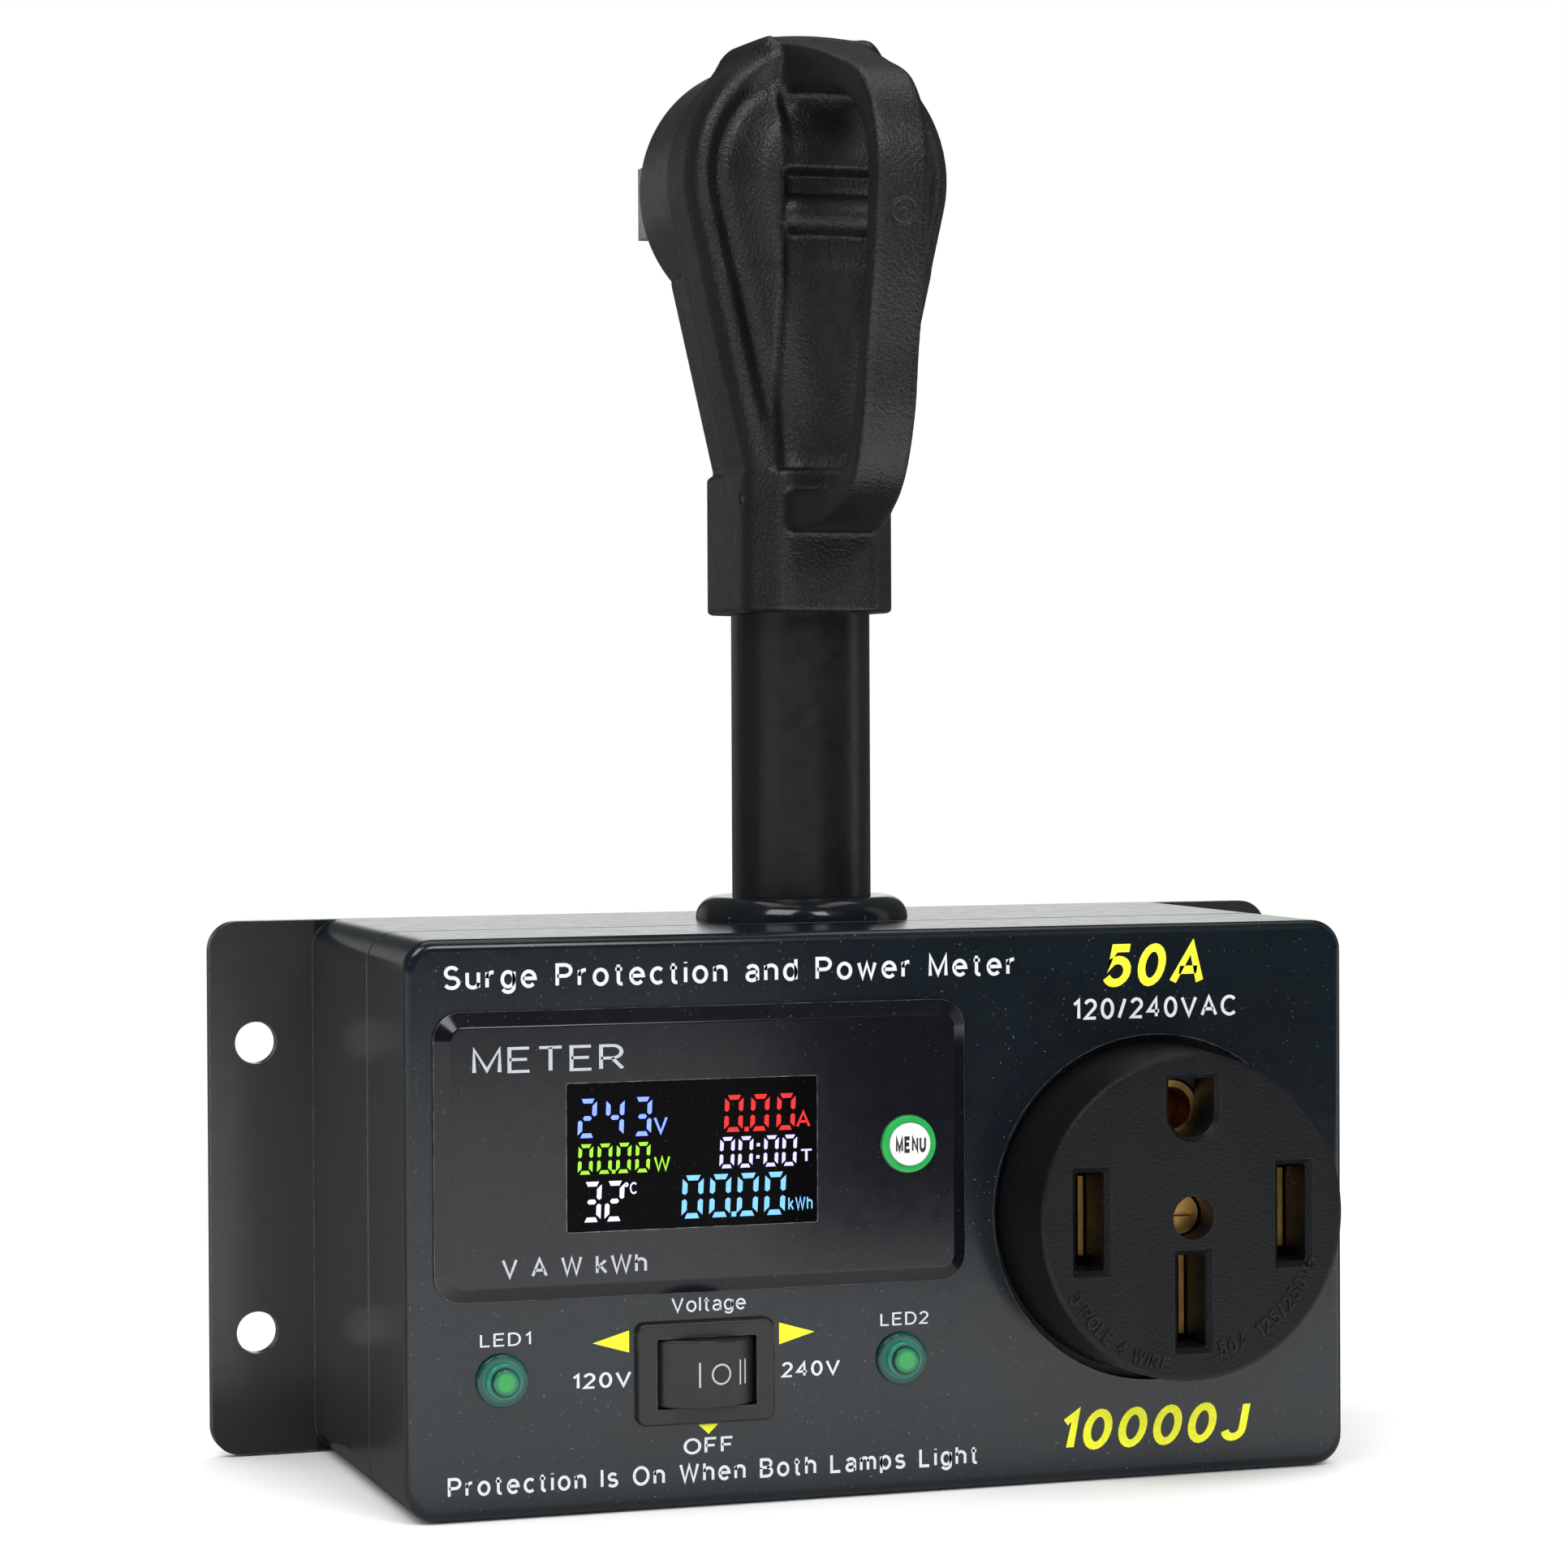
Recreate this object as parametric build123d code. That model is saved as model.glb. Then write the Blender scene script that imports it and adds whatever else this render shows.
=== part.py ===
from build123d import *
import math
import os

# Surge protector with a right-angle four-blade plug on a short cord.
# Millimetres, +Z up. The origin is the middle of the four mounting holes on the rear face (y = 0).
# The front panel faces -Y, and the cord leaves through the top wall.

# Driving dimensions: the box
BOX_W = 162.0
BOX_H = 92.0
BOX_D = 73.0
WALL = 2.5
COVER_D = 27.0
CORNER_R = 5.0
EDGE_R = 1.8
PARTING_CHAMFER = 0.5
FLANGE_W = 18.0
FLANGE_T = 2.5
HOLE_R = 3.6
HOLE_INSET = 8.0
HOLE_SPACING_Z = 50.0
POST_R = 4.5
POST_INSET = 6.5
GASKET_D = 0.9
GASKET_W = 1.0
GASKET_INSET = 0.8
SCREW_R = 2.0
SCREW_HEAD_R = 3.6
SCREW_HEAD_D = 3.0
SCREW_REACH = 14.0
SCREW_SINK = 0.4
SMALL_SCREW_R = 1.5
SMALL_HEAD_R = 2.8
DRIVE_HALF = 0.4
FIT = 0.1

# Driving dimensions: cord and gland
CORD_Y = -27.0
CORD_R = 12.0
CORE_R = 8.6
WIRE_R = 3.15
WIRE_OFFSET = 3.75
BEND_R = 11.0
JACKET_LOW_Z = 30.0
JACKET_HIGH_Z = 116.0
GLAND_R = 18.35
GLAND_H = 3.8
GLAND_ROUND = 3.7
GLAND_THREAD_R = 15.5
GLAND_COLLAR_R = 17.0
GLAND_FOOT_Z = 31.0
GLAND_BORE_R = 12.4
SEAL_R = 14.0
SEAL_Z = 41.0
LOCKNUT_R = 18.5
LOCKNUT_H = 4.5

# Driving dimensions: plug
COLLAR_Z = 98.4
COLLAR_H = 24.1
HEAD_Z = 172.5
HEAD_R = 23.7
FACE_R = 23.3
PLUG_FACE_Y = -8.0
SHELL_BACK_Y = -26.0
SHELL_FRONT_Y = -41.0
BULGE_FRONT_Y = -49.3
NECK_BACK_Y = -12.0
HANDLE_W = 9.4
HANDLE_FRONT_Y = -81.3

# Driving dimensions: four-pole 50 A blade pattern
HOT_X = 17.86
GROUND_DZ = 17.1
NEUTRAL_DZ = -13.7
BLADE_T = 2.4
BLADE_H = 12.6
BLADE_OUT = 17.1
BLADE_TAPER = 2.4
BLADE_TIP_T = 1.0
GROUND_PIN_R = 3.2
GROUND_PIN_OUT = 21.1
GROUND_PIN_ROUND = 2.4
GROUND_SHANK_R = 3.6
HOT_WIRE_TOP = 160.0
HOT_BARREL_X = 11.5
HOT_BARREL_Y = -30.0
NEUTRAL_WIRE_TOP = 146.0
NEUTRAL_BARREL_Y = -27.0
GROUND_WIRE_TOP = 178.0
GROUND_BARREL_Y = -35.5

# Driving dimensions: receptacle
SOCKET_X = 46.5
SOCKET_Z = -1.1
SOCKET_R = 26.65
SOCKET_HOLE_R = 28.75
SOCKET_DRAFT = 0.8
SOCKET_OUT = 16.0
SOCKET_PLATE_T = 9.0
SOCKET_FLANGE = 57.0
SOCKET_FLANGE_T = 4.0
SOCKET_CORNER_R = 4.0
CLAMP_FLANGE_T = 3.0
SOCKET_SCREW_DX = 24.0
SLOT_W = 5.0
SLOT_H = 16.0
NEUTRAL_SLOT_H = 15.2
SLOT_MOUTH = 1.8
SLOT_MOUTH_D = 1.1
GROUND_SLOT_HALF = 4.05
CENTRE_HOLE_R = 3.6
BODY_BACK_Y = -42.0
CONTACT_BACK_Y = -54.0
LUG = 5.0
LINE_2_LUG_Y = -15.0

# Driving dimensions: meter
PANEL_X = -32.0
METER_W = 89.0
METER_H = 46.0
METER_Z = 11.6
METER_OUT = 2.2
METER_CORNER_R = 4.5
BEZEL_WALL = 0.6
BEZEL_SLOPE_DEG = 57.0
SPIGOT_INSET = 2.1
SPIGOT_D = 4.5
SPIGOT_WALL = 1.5
METER_D = 27.0
METER_BOARD_D = 6.3
METER_BOARD_T = 1.6
METER_LEAD_X = -28.0
METER_POLE = 6.0
METER_TERMINAL_D = 7.0
WINDOW_X = -34.4
WINDOW_Z = 11.1
WINDOW_W = 41.8
WINDOW_H = 23.6
WINDOW_LIP = 1.5
WINDOW_STEP = 0.5
MENU_X = 2.1
MENU_Z = 11.3
RING_R = 4.65
RING_OUT = 0.7
BUTTON_R = 3.5
BUTTON_OUT = 1.3
BUTTON_GAP = 0.08
BUTTON_TRAVEL = 0.7
TACT_RIM = 0.6

# Driving dimensions: switch and lamps
SWITCH_Z = -24.2
SWITCH_W = 23.0
SWITCH_H = 16.5
SWITCH_OUT = 1.5
SWITCH_D = 18.0
SWITCH_LIP = 1.7
SWITCH_FLOOR = 1.5
ROCKER_R = 8.2
ROCKER_H = 11.0
ROCKER_CROWN = 5.2
ROCKER_CORNER = 1.3
ROCKER_GAP = 0.15
PIVOT_R = 1.2
PIVOT_GAP = 0.05
SEESAW_D = 11.0
TAB_PITCH = 5.5
TAB_T = 0.8
TAB_H = 4.8
LAMP_DX = 33.5
LAMP_Z = -23.9
LAMP_STEPS = ((4.25, 1.0), (3.0, 2.2), (2.2, 3.0))
LAMP_BARREL_R = 3.0
LAMP_BARREL_D = 9.0
LED_R = 2.5
LED_LEAD_DZ = 1.27

# Driving dimensions: surge circuit
BOARD_FRONT_Y = -10.0
BOARD_T = 1.6
BOARD_X = (-72.0, -14.0)
BOARD_Z = (-34.0, 34.0)
BOARD_INSET = 4.0
BOARD_POST_R = 3.2
MOV_R = 10.0
MOV_Z = 8.0
MOV_X = (-62.0, -53.0, -44.0, -35.0)
PIN_R = 0.5
FUSE_X = (-60.0, -50.0)
FUSE_Z = (-9.0, -15.0)
FUSE_OUT = 3.4
GAS_TUBE_X = (-37.0, -31.0)
GAS_TUBE_Z = -14.0
STRIP_X = (-24.0, -16.0)
STRIP_Z = (-27.0, 1.0)
LEAD_R = 0.9
LEAD_OUT = 4.0
LEAD_Z = (-23.5, -16.5, -9.5, -2.5)
CT_R = 8.0
CT_X = (10.0, 17.0)

# Planes and places that follow
UP = (0, 0, 1)
FORWARD = (0, -1, 0)
FRONT_Y = -BOX_D
PANEL_BACK_Y = FRONT_Y + WALL
PARTING_Y = FRONT_Y + COVER_D
ROOF_Z = BOX_H / 2
HOLE_X = BOX_W / 2 + FLANGE_W - HOLE_INSET
BEZEL_FRONT_Y = FRONT_Y - METER_OUT
SPIGOT_W = METER_W - 2 * SPIGOT_INSET
SPIGOT_H = METER_H - 2 * SPIGOT_INSET
SPIGOT_BACK_Y = FRONT_Y + SPIGOT_D
METER_BACK_Y = FRONT_Y + METER_D
METER_BOARD_Y = FRONT_Y + METER_BOARD_D
BUTTON_FRONT_Y = BEZEL_FRONT_Y - BUTTON_OUT
BUTTON_BACK_Y = FRONT_Y + 0.5
SWITCH_FRONT_Y = FRONT_Y - SWITCH_OUT
SWITCH_BACK_Y = FRONT_Y + SWITCH_D
SWITCH_BODY_W = SWITCH_W - 2 * SWITCH_LIP
SWITCH_BODY_H = SWITCH_H - 2 * SWITCH_LIP
PIVOT_Y = FRONT_Y + 1.0
CONTACT_PIVOT_Y = PIVOT_Y + SEESAW_D
TAB_X = [PANEL_X + dx for dx in (-TAB_PITCH, 0.0, TAB_PITCH)]
TAB_Z = (SWITCH_Z - TAB_H / 2, SWITCH_Z + TAB_H / 2)
SOCKET_FRONT_Y = FRONT_Y - SOCKET_OUT
SOCKET_PLATE_Y = SOCKET_FRONT_Y + SOCKET_PLATE_T
FLANGE_BACK_Y = PANEL_BACK_Y + SOCKET_FLANGE_T
FRONT_WIRE_Y = CORD_Y - WIRE_OFFSET
BACK_WIRE_Y = CORD_Y + WIRE_OFFSET
LUG_REACH = LUG - 0.5
GROUND_SOCKET_Z = SOCKET_Z + GROUND_DZ
NEUTRAL_SOCKET_Z = SOCKET_Z + NEUTRAL_DZ
GROUND_PIN_Z = HEAD_Z + GROUND_DZ
BOARD_BACK_Y = BOARD_FRONT_Y + BOARD_T
LEAD_Y = BOARD_FRONT_Y - LEAD_OUT
GLAND_TOP_Z = ROOF_Z + GLAND_H


def at(x, y, z, facing=(0, -1, 0), across=(1, 0, 0)):
    """A work plane at a point; facing is the way an extrusion grows."""
    return Plane(origin=(x, y, z), x_dir=across, z_dir=facing)


def block(x, y, z):
    """A box between three pairs of limits."""
    size = (x[1] - x[0], y[1] - y[0], z[1] - z[0])
    centre = ((x[0] + x[1]) / 2, (y[0] + y[1]) / 2, (z[0] + z[1]) / 2)
    return Pos(*centre) * Box(*size)


def slab(width, height, corner, y_front, y_back, x=0.0, z=0.0):
    """A rounded rectangle between two depths, centred on (x, z)."""
    outline = RectangleRounded(width, height, corner)
    return at(x, y_back, z) * extrude(outline, amount=y_back - y_front)


def disc(radius, y_front, y_back, x, z):
    """A round piece on an axis along Y."""
    return at(x, y_back, z) * extrude(Circle(radius), amount=y_back - y_front)


def column(radius, z_low, z_high, x=0.0, y=CORD_Y):
    """A round piece on an axis along Z."""
    return Pos(x, y, z_low) * extrude(Circle(radius), amount=z_high - z_low)


def bar(radius, x_low, x_high, y, z):
    """A round piece on an axis along X."""
    return at(x_low, y, z, (1, 0, 0), (0, 1, 0)) * extrude(Circle(radius), amount=x_high - x_low)


def lathe_z(points, x=0.0, y=CORD_Y):
    """A closed outline of (radius, z) points turned about a vertical axis."""
    outline = make_face(Polyline(*[(r, 0, z) for r, z in points], close=True))
    return Pos(x, y, 0) * revolve(outline, axis=Axis.Z)


def cable(points, radius, start=None, end=None):
    """A round cable through points, with optional end directions."""
    path = Spline(*points, tangents=(start, end)) if start else Spline(*points)
    section = Plane(origin=path @ 0, z_dir=path % 0) * Circle(radius)
    return sweep(section, path=path)


def corners(dx, dz):
    """The four corners of a rectangle."""
    return [(sx * dx, sz * dz) for sx in (-1, 1) for sz in (-1, 1)]


POSTS = corners(BOX_W / 2 - POST_INSET, BOX_H / 2 - POST_INSET)
SOCKET_SCREWS = [(SOCKET_X + dx, SOCKET_Z + dz) for dx, dz in corners(SOCKET_SCREW_DX, SOCKET_SCREW_DX)]
BOARD_POST_X = [BOARD_X[0] + BOARD_INSET, BOARD_X[1] - BOARD_INSET]
BOARD_POST_Z = [BOARD_Z[0] + BOARD_INSET, BOARD_Z[1] - BOARD_INSET]
BOARD_POSTS = [(x, z) for x in BOARD_POST_X for z in BOARD_POST_Z]


# ---------------------------------------------------------------- enclosure


def shell(y_front, y_back, open_front):
    """One half of the box, with its open side at the parting line."""
    outer = slab(BOX_W, BOX_H, CORNER_R, y_front, y_back)
    inner_front = y_front if open_front else y_front + WALL
    inner_back = y_back - WALL if open_front else y_back
    inner = slab(BOX_W - 2 * WALL, BOX_H - 2 * WALL, CORNER_R - WALL, inner_front, inner_back)
    return outer, inner


def ring_edges(part, y):
    """Edges of a shape that lie in one plane across Y."""
    return part.edges().filter_by_position(Axis.Y, y - 0.01, y + 0.01)


def gasket_ring(y_front, y_back):
    rings = []
    for inset in (GASKET_INSET, GASKET_INSET + GASKET_W):
        rings.append(slab(BOX_W - 2 * inset, BOX_H - 2 * inset, CORNER_R - inset, y_front, y_back))
    return rings[0] - rings[1]


def panel_hole(width, height, corner, z):
    """The hole through the panel for a body of that size, with room to fit it."""
    return slab(width + 2 * FIT, height + 2 * FIT, corner, FRONT_Y, PANEL_BACK_Y, PANEL_X, z)


def front_cover():
    outer, inner = shell(FRONT_Y, PARTING_Y, False)
    outer = fillet(ring_edges(outer, FRONT_Y), EDGE_R)
    outer = chamfer(ring_edges(outer, PARTING_Y), PARTING_CHAMFER)
    cover = outer - inner
    for x, z in POSTS:
        cover += disc(POST_R, PANEL_BACK_Y, PARTING_Y, x, z)
        cover -= disc(SCREW_R + FIT / 2, PARTING_Y - SCREW_REACH - 2.0, PARTING_Y, x, z)
    cover -= panel_hole(SPIGOT_W, SPIGOT_H, 1.0, METER_Z)
    cover -= panel_hole(SWITCH_BODY_W, SWITCH_BODY_H, 0.5, SWITCH_Z)
    for side in (-1, 1):
        cover -= disc(LAMP_BARREL_R + FIT, FRONT_Y, PANEL_BACK_Y, PANEL_X + side * LAMP_DX, LAMP_Z)
    cover -= disc(SOCKET_HOLE_R, FRONT_Y, PANEL_BACK_Y, SOCKET_X, SOCKET_Z)
    for x, z in SOCKET_SCREWS:
        cover -= disc(SMALL_SCREW_R + FIT / 2, PANEL_BACK_Y - 1.5, PANEL_BACK_Y, x, z)
    return cover


def rear_base():
    outer, inner = shell(PARTING_Y, 0.0, True)
    outer = chamfer(ring_edges(outer, PARTING_Y), PARTING_CHAMFER)
    plate = slab(BOX_W + 2 * FLANGE_W, BOX_H, CORNER_R, -FLANGE_T, 0.0)
    base = outer + plate
    base -= inner
    for x, z in POSTS:
        base += disc(POST_R, PARTING_Y, -WALL, x, z)
        base -= disc(SCREW_R + 2 * FIT, PARTING_Y, 0.0, x, z)
        base -= disc(SCREW_HEAD_R + 2 * FIT, -SCREW_HEAD_D - SCREW_SINK, 0.0, x, z)
    base -= gasket_ring(PARTING_Y, PARTING_Y + GASKET_D)
    for x, z in corners(HOLE_X, HOLE_SPACING_Z / 2):
        base -= disc(HOLE_R, -FLANGE_T, 0.0, x, z)
    for x, z in BOARD_POSTS:
        base += disc(BOARD_POST_R, BOARD_BACK_Y, -WALL, x, z)
        base -= disc(SMALL_SCREW_R + FIT / 2, BOARD_BACK_Y, -WALL, x, z)
    base -= column(GLAND_THREAD_R + FIT, ROOF_Z - WALL - 1.0, ROOF_Z + 1.0)
    return base


def cover_gasket():
    return gasket_ring(PARTING_Y, PARTING_Y + GASKET_D)


def pan_screw(x, z, y_head, y_tip, radius, head_r, head_d):
    """A cross-recess screw that points towards -Y, with its head at the back."""
    screw = disc(radius, y_tip, y_head - head_d + FIT, x, z)
    screw += disc(head_r, y_head - head_d, y_head, x, z)
    slot = head_r * 0.6
    depth = (y_head - 1.0, y_head)
    screw -= block((x - slot, x + slot), depth, (z - DRIVE_HALF, z + DRIVE_HALF))
    screw -= block((x - DRIVE_HALF, x + DRIVE_HALF), depth, (z - slot, z + slot))
    return screw


def cover_screws():
    tip = PARTING_Y - SCREW_REACH
    return [pan_screw(x, z, -SCREW_SINK, tip, SCREW_R, SCREW_HEAD_R, SCREW_HEAD_D) for x, z in POSTS]


# ---------------------------------------------------------------- meter

def bezel_face():
    """The bezel's raised face: a low wall, then a broad slope up to a flat middle."""
    wall_y = FRONT_Y - BEZEL_WALL
    wall = slab(METER_W, METER_H, METER_CORNER_R, wall_y, FRONT_Y, PANEL_X, METER_Z)
    outline = RectangleRounded(METER_W, METER_H, METER_CORNER_R)
    height = METER_OUT - BEZEL_WALL
    slope = at(PANEL_X, wall_y, METER_Z) * extrude(outline, amount=height, taper=BEZEL_SLOPE_DEG)
    return fillet(ring_edges(wall + slope, BEZEL_FRONT_Y), 0.6)


def meter_bezel():
    floor_y = FRONT_Y + 0.4
    spigot = slab(SPIGOT_W, SPIGOT_H, 0.8, FRONT_Y, SPIGOT_BACK_Y, PANEL_X, METER_Z)
    inner_w, inner_h = SPIGOT_W - 2 * SPIGOT_WALL, SPIGOT_H - 2 * SPIGOT_WALL
    hollow = slab(inner_w, inner_h, 0.5, floor_y, SPIGOT_BACK_Y, PANEL_X, METER_Z)
    bezel = bezel_face() + (spigot - hollow)
    bezel -= slab(WINDOW_W, WINDOW_H, 0.4, BEZEL_FRONT_Y, floor_y, WINDOW_X, WINDOW_Z)
    bezel -= window_plate(BEZEL_FRONT_Y + WINDOW_STEP, floor_y)
    return bezel - disc(RING_R, BEZEL_FRONT_Y, floor_y, MENU_X, MENU_Z)


def window_plate(y_front, y_back):
    """The window's hidden edge, wider than the opening by its lip."""
    width, height = WINDOW_W + 2 * WINDOW_LIP, WINDOW_H + 2 * WINDOW_LIP
    return slab(width, height, 0.6, y_front, y_back, WINDOW_X, WINDOW_Z)


def display_window():
    y_front = BEZEL_FRONT_Y + WINDOW_STEP
    pane = window_plate(y_front, y_front + 1.5)
    return pane + slab(WINDOW_W, WINDOW_H, 0.4, y_front - 0.35, y_front, WINDOW_X, WINDOW_Z)


def display_module():
    y_front = BEZEL_FRONT_Y + WINDOW_STEP + 1.6
    return slab(WINDOW_W + 2, WINDOW_H + 2, 0.8, y_front, METER_BOARD_Y, WINDOW_X, WINDOW_Z)


def meter_board():
    width, height = SPIGOT_W - 4.2, SPIGOT_H - 4.2
    y_back = METER_BOARD_Y + METER_BOARD_T
    return slab(width, height, 1.0, METER_BOARD_Y, y_back, PANEL_X, METER_Z)


def meter_housing():
    cup = slab(SPIGOT_W, SPIGOT_H, 1.2, SPIGOT_BACK_Y, METER_BACK_Y, PANEL_X, METER_Z)
    inner_w, inner_h = SPIGOT_W - 2 * SPIGOT_WALL, SPIGOT_H - 2 * SPIGOT_WALL
    cup -= slab(inner_w, inner_h, 0.6, SPIGOT_BACK_Y, METER_BACK_Y - SPIGOT_WALL, PANEL_X, METER_Z)
    for side in (-1, 1):
        inner = PANEL_X + side * SPIGOT_W / 2
        outer = inner + side * 1.3
        ear = (min(inner, outer), max(inner, outer))
        cup += block(ear, (SPIGOT_BACK_Y, SPIGOT_BACK_Y + 3.0), (METER_Z - 5.0, METER_Z + 5.0))
    return cup


def meter_terminals():
    """Screw terminals on the meter's back, one solid per pole."""
    y = (METER_BACK_Y, METER_BACK_Y + METER_TERMINAL_D)
    poles = []
    for i in range(4):
        x = METER_LEAD_X + METER_POLE * i
        poles.append(block((x - 2.6, x + 2.6), y, (METER_Z - 4.0, METER_Z + 4.0)))
    return poles


def menu_ring():
    front, back = BEZEL_FRONT_Y - RING_OUT, FRONT_Y - 0.4
    ring = disc(RING_R, front, back, MENU_X, MENU_Z)
    ring = fillet(ring_edges(ring, front), 0.3)
    return ring - disc(BUTTON_R + BUTTON_GAP, front, back, MENU_X, MENU_Z)


def menu_button():
    cap = disc(BUTTON_R, BUTTON_FRONT_Y, BUTTON_BACK_Y, MENU_X, MENU_Z)
    cap = fillet(ring_edges(cap, BUTTON_FRONT_Y), 0.35)
    return cap + disc(4.2, FRONT_Y - 0.3, BUTTON_BACK_Y, MENU_X, MENU_Z)


def tact_switch():
    y_front = METER_BOARD_Y - 3.4
    body = slab(6.0, 6.0, 0.4, y_front, METER_BOARD_Y, MENU_X, MENU_Z)
    return body - disc(1.8, y_front, METER_BOARD_Y - TACT_RIM, MENU_X, MENU_Z)


def tact_plunger():
    tip_y = METER_BOARD_Y - TACT_RIM - BUTTON_TRAVEL - 2 * FIT
    return disc(1.75, BUTTON_BACK_Y, tip_y, MENU_X, MENU_Z)


# ---------------------------------------------------------------- rocker switch

def switch_housing():
    flange = slab(SWITCH_W, SWITCH_H, 1.5, SWITCH_FRONT_Y, FRONT_Y, PANEL_X, SWITCH_Z)
    flange = fillet(ring_edges(flange, SWITCH_FRONT_Y), 0.6)
    body = slab(SWITCH_BODY_W, SWITCH_BODY_H, 0.4, FRONT_Y, SWITCH_BACK_Y, PANEL_X, SWITCH_Z)
    housing = flange + body
    mouth_w = 2 * (ROCKER_R + ROCKER_GAP)
    mouth_h = ROCKER_H + 2 * ROCKER_GAP
    floor_y = SWITCH_BACK_Y - SWITCH_FLOOR
    housing -= slab(mouth_w, mouth_h, 0.3, SWITCH_FRONT_Y, floor_y, PANEL_X, SWITCH_Z)
    reach = SWITCH_BODY_H / 2
    housing -= column(PIVOT_R + PIVOT_GAP, SWITCH_Z - reach, SWITCH_Z + reach, PANEL_X, PIVOT_Y)
    for x in TAB_X:
        housing -= block((x - TAB_T / 2, x + TAB_T / 2), (floor_y, SWITCH_BACK_Y), TAB_Z)
    return housing


def switch_rocker():
    """A barrel-faced rocker whose sides are arcs about its own pivot, so it clears at every tilt."""
    sagitta = ROCKER_CROWN - ROCKER_CORNER
    chord = math.sqrt(ROCKER_R**2 - ROCKER_CORNER**2)
    face_r = (chord**2 + sagitta**2) / (2 * sagitta)
    low = SWITCH_Z - ROCKER_H / 2
    high = SWITCH_Z + ROCKER_H / 2
    rocker = column(ROCKER_R, low, high, PANEL_X, PIVOT_Y)
    rocker &= column(face_r, low, high, PANEL_X, PIVOT_Y - ROCKER_CROWN + face_r)
    rocker &= block((PANEL_X - 9.0, PANEL_X + 9.0), (PIVOT_Y - 9.0, PIVOT_Y + 3.5), (low, high))
    front = rocker.edges().filter_by(GeomType.CIRCLE)
    front = front.filter_by(lambda e: e.center().Y < PIVOT_Y - 2)
    rocker = fillet(front, 0.5)
    reach = SWITCH_BODY_H / 2
    rocker += column(PIVOT_R, SWITCH_Z - reach, SWITCH_Z + reach, PANEL_X, PIVOT_Y)
    return rocker - disc(1.3, PIVOT_Y - 1.0, PIVOT_Y + 3.5, PANEL_X, SWITCH_Z)


def switch_plunger():
    tip_y = PIVOT_Y + 9.5
    pin = disc(1.2, PIVOT_Y - 0.9, tip_y, PANEL_X, SWITCH_Z)
    return fillet(ring_edges(pin, tip_y), 1.0)


def switch_contact():
    """The seesaw blade that joins the middle terminal to one end terminal."""
    x = (PANEL_X - 6.6, PANEL_X + 6.6)
    z = (SWITCH_Z - 2.0, SWITCH_Z + 2.0)
    blade = block(x, (CONTACT_PIVOT_Y - 1.3, CONTACT_PIVOT_Y - 0.8), z)
    for side in (-1, 1):
        x = PANEL_X + side * TAB_PITCH
        blade += disc(1.0, CONTACT_PIVOT_Y - 0.8, CONTACT_PIVOT_Y - 0.4, x, SWITCH_Z)
    return blade


def switch_terminals():
    tabs = []
    for x in TAB_X:
        front = CONTACT_PIVOT_Y - 0.75 if x == PANEL_X else CONTACT_PIVOT_Y + 0.7
        tabs.append(block((x - TAB_T / 2, x + TAB_T / 2), (front, SWITCH_BACK_Y + 6.0), TAB_Z))
    return tabs


# ---------------------------------------------------------------- lamps

def lamp_lens(side):
    x = PANEL_X + side * LAMP_DX
    lens = disc(LAMP_BARREL_R, FRONT_Y, FRONT_Y + LAMP_BARREL_D, x, LAMP_Z)
    for radius, out in LAMP_STEPS:
        step = disc(radius, FRONT_Y - out, FRONT_Y, x, LAMP_Z)
        lens += fillet(ring_edges(step, FRONT_Y - out), 0.4)
    return lens - disc(LED_R + FIT / 2, FRONT_Y, FRONT_Y + LAMP_BARREL_D, x, LAMP_Z)


def lamp_led(side):
    x = PANEL_X + side * LAMP_DX
    nose_y, rim_y = FRONT_Y + 0.6, FRONT_Y + LAMP_BARREL_D
    led = disc(LED_R, nose_y, rim_y, x, LAMP_Z)
    led = fillet(ring_edges(led, nose_y), LED_R - 0.2)
    led += disc(LED_R + 0.4, rim_y, rim_y + 1.0, x, LAMP_Z)
    for dz in (-LED_LEAD_DZ, LED_LEAD_DZ):
        lead = block((x - 0.25, x + 0.25), (rim_y + 1.0, rim_y + 9.0), (-0.25, 0.25))
        led += Pos(0, 0, LAMP_Z + dz) * lead
    return led


def lamp_nuts():
    nuts = []
    for side in (-1, 1):
        x = PANEL_X + side * LAMP_DX
        back_y = PANEL_BACK_Y + 2.4
        hexagon = at(x, back_y, LAMP_Z) * extrude(RegularPolygon(5.0, 6), amount=back_y - PANEL_BACK_Y)
        nuts.append(hexagon - disc(LAMP_BARREL_R, PANEL_BACK_Y, back_y, x, LAMP_Z))
    return nuts


# ---------------------------------------------------------------- receptacle

def tapered_slot(width, height, x, z):
    """A rectangular opening through the face with a chamfered mouth."""
    slot = slab(width, height, 0.3, SOCKET_FRONT_Y, SOCKET_PLATE_Y, x, z)
    mouth = at(x, SOCKET_FRONT_Y, z) * Rectangle(width + SLOT_MOUTH, height + SLOT_MOUTH)
    throat = at(x, SOCKET_FRONT_Y + SLOT_MOUTH_D, z) * Rectangle(width, height)
    return slot + loft([mouth, throat])


def ground_outline(grow):
    """The U-shaped ground opening: flat at the top, round at the bottom."""
    half = GROUND_SLOT_HALF + grow
    top = Rectangle(2 * half, 5.6 + grow, align=(Align.CENTER, Align.MIN))
    return top + Circle(half)


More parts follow.
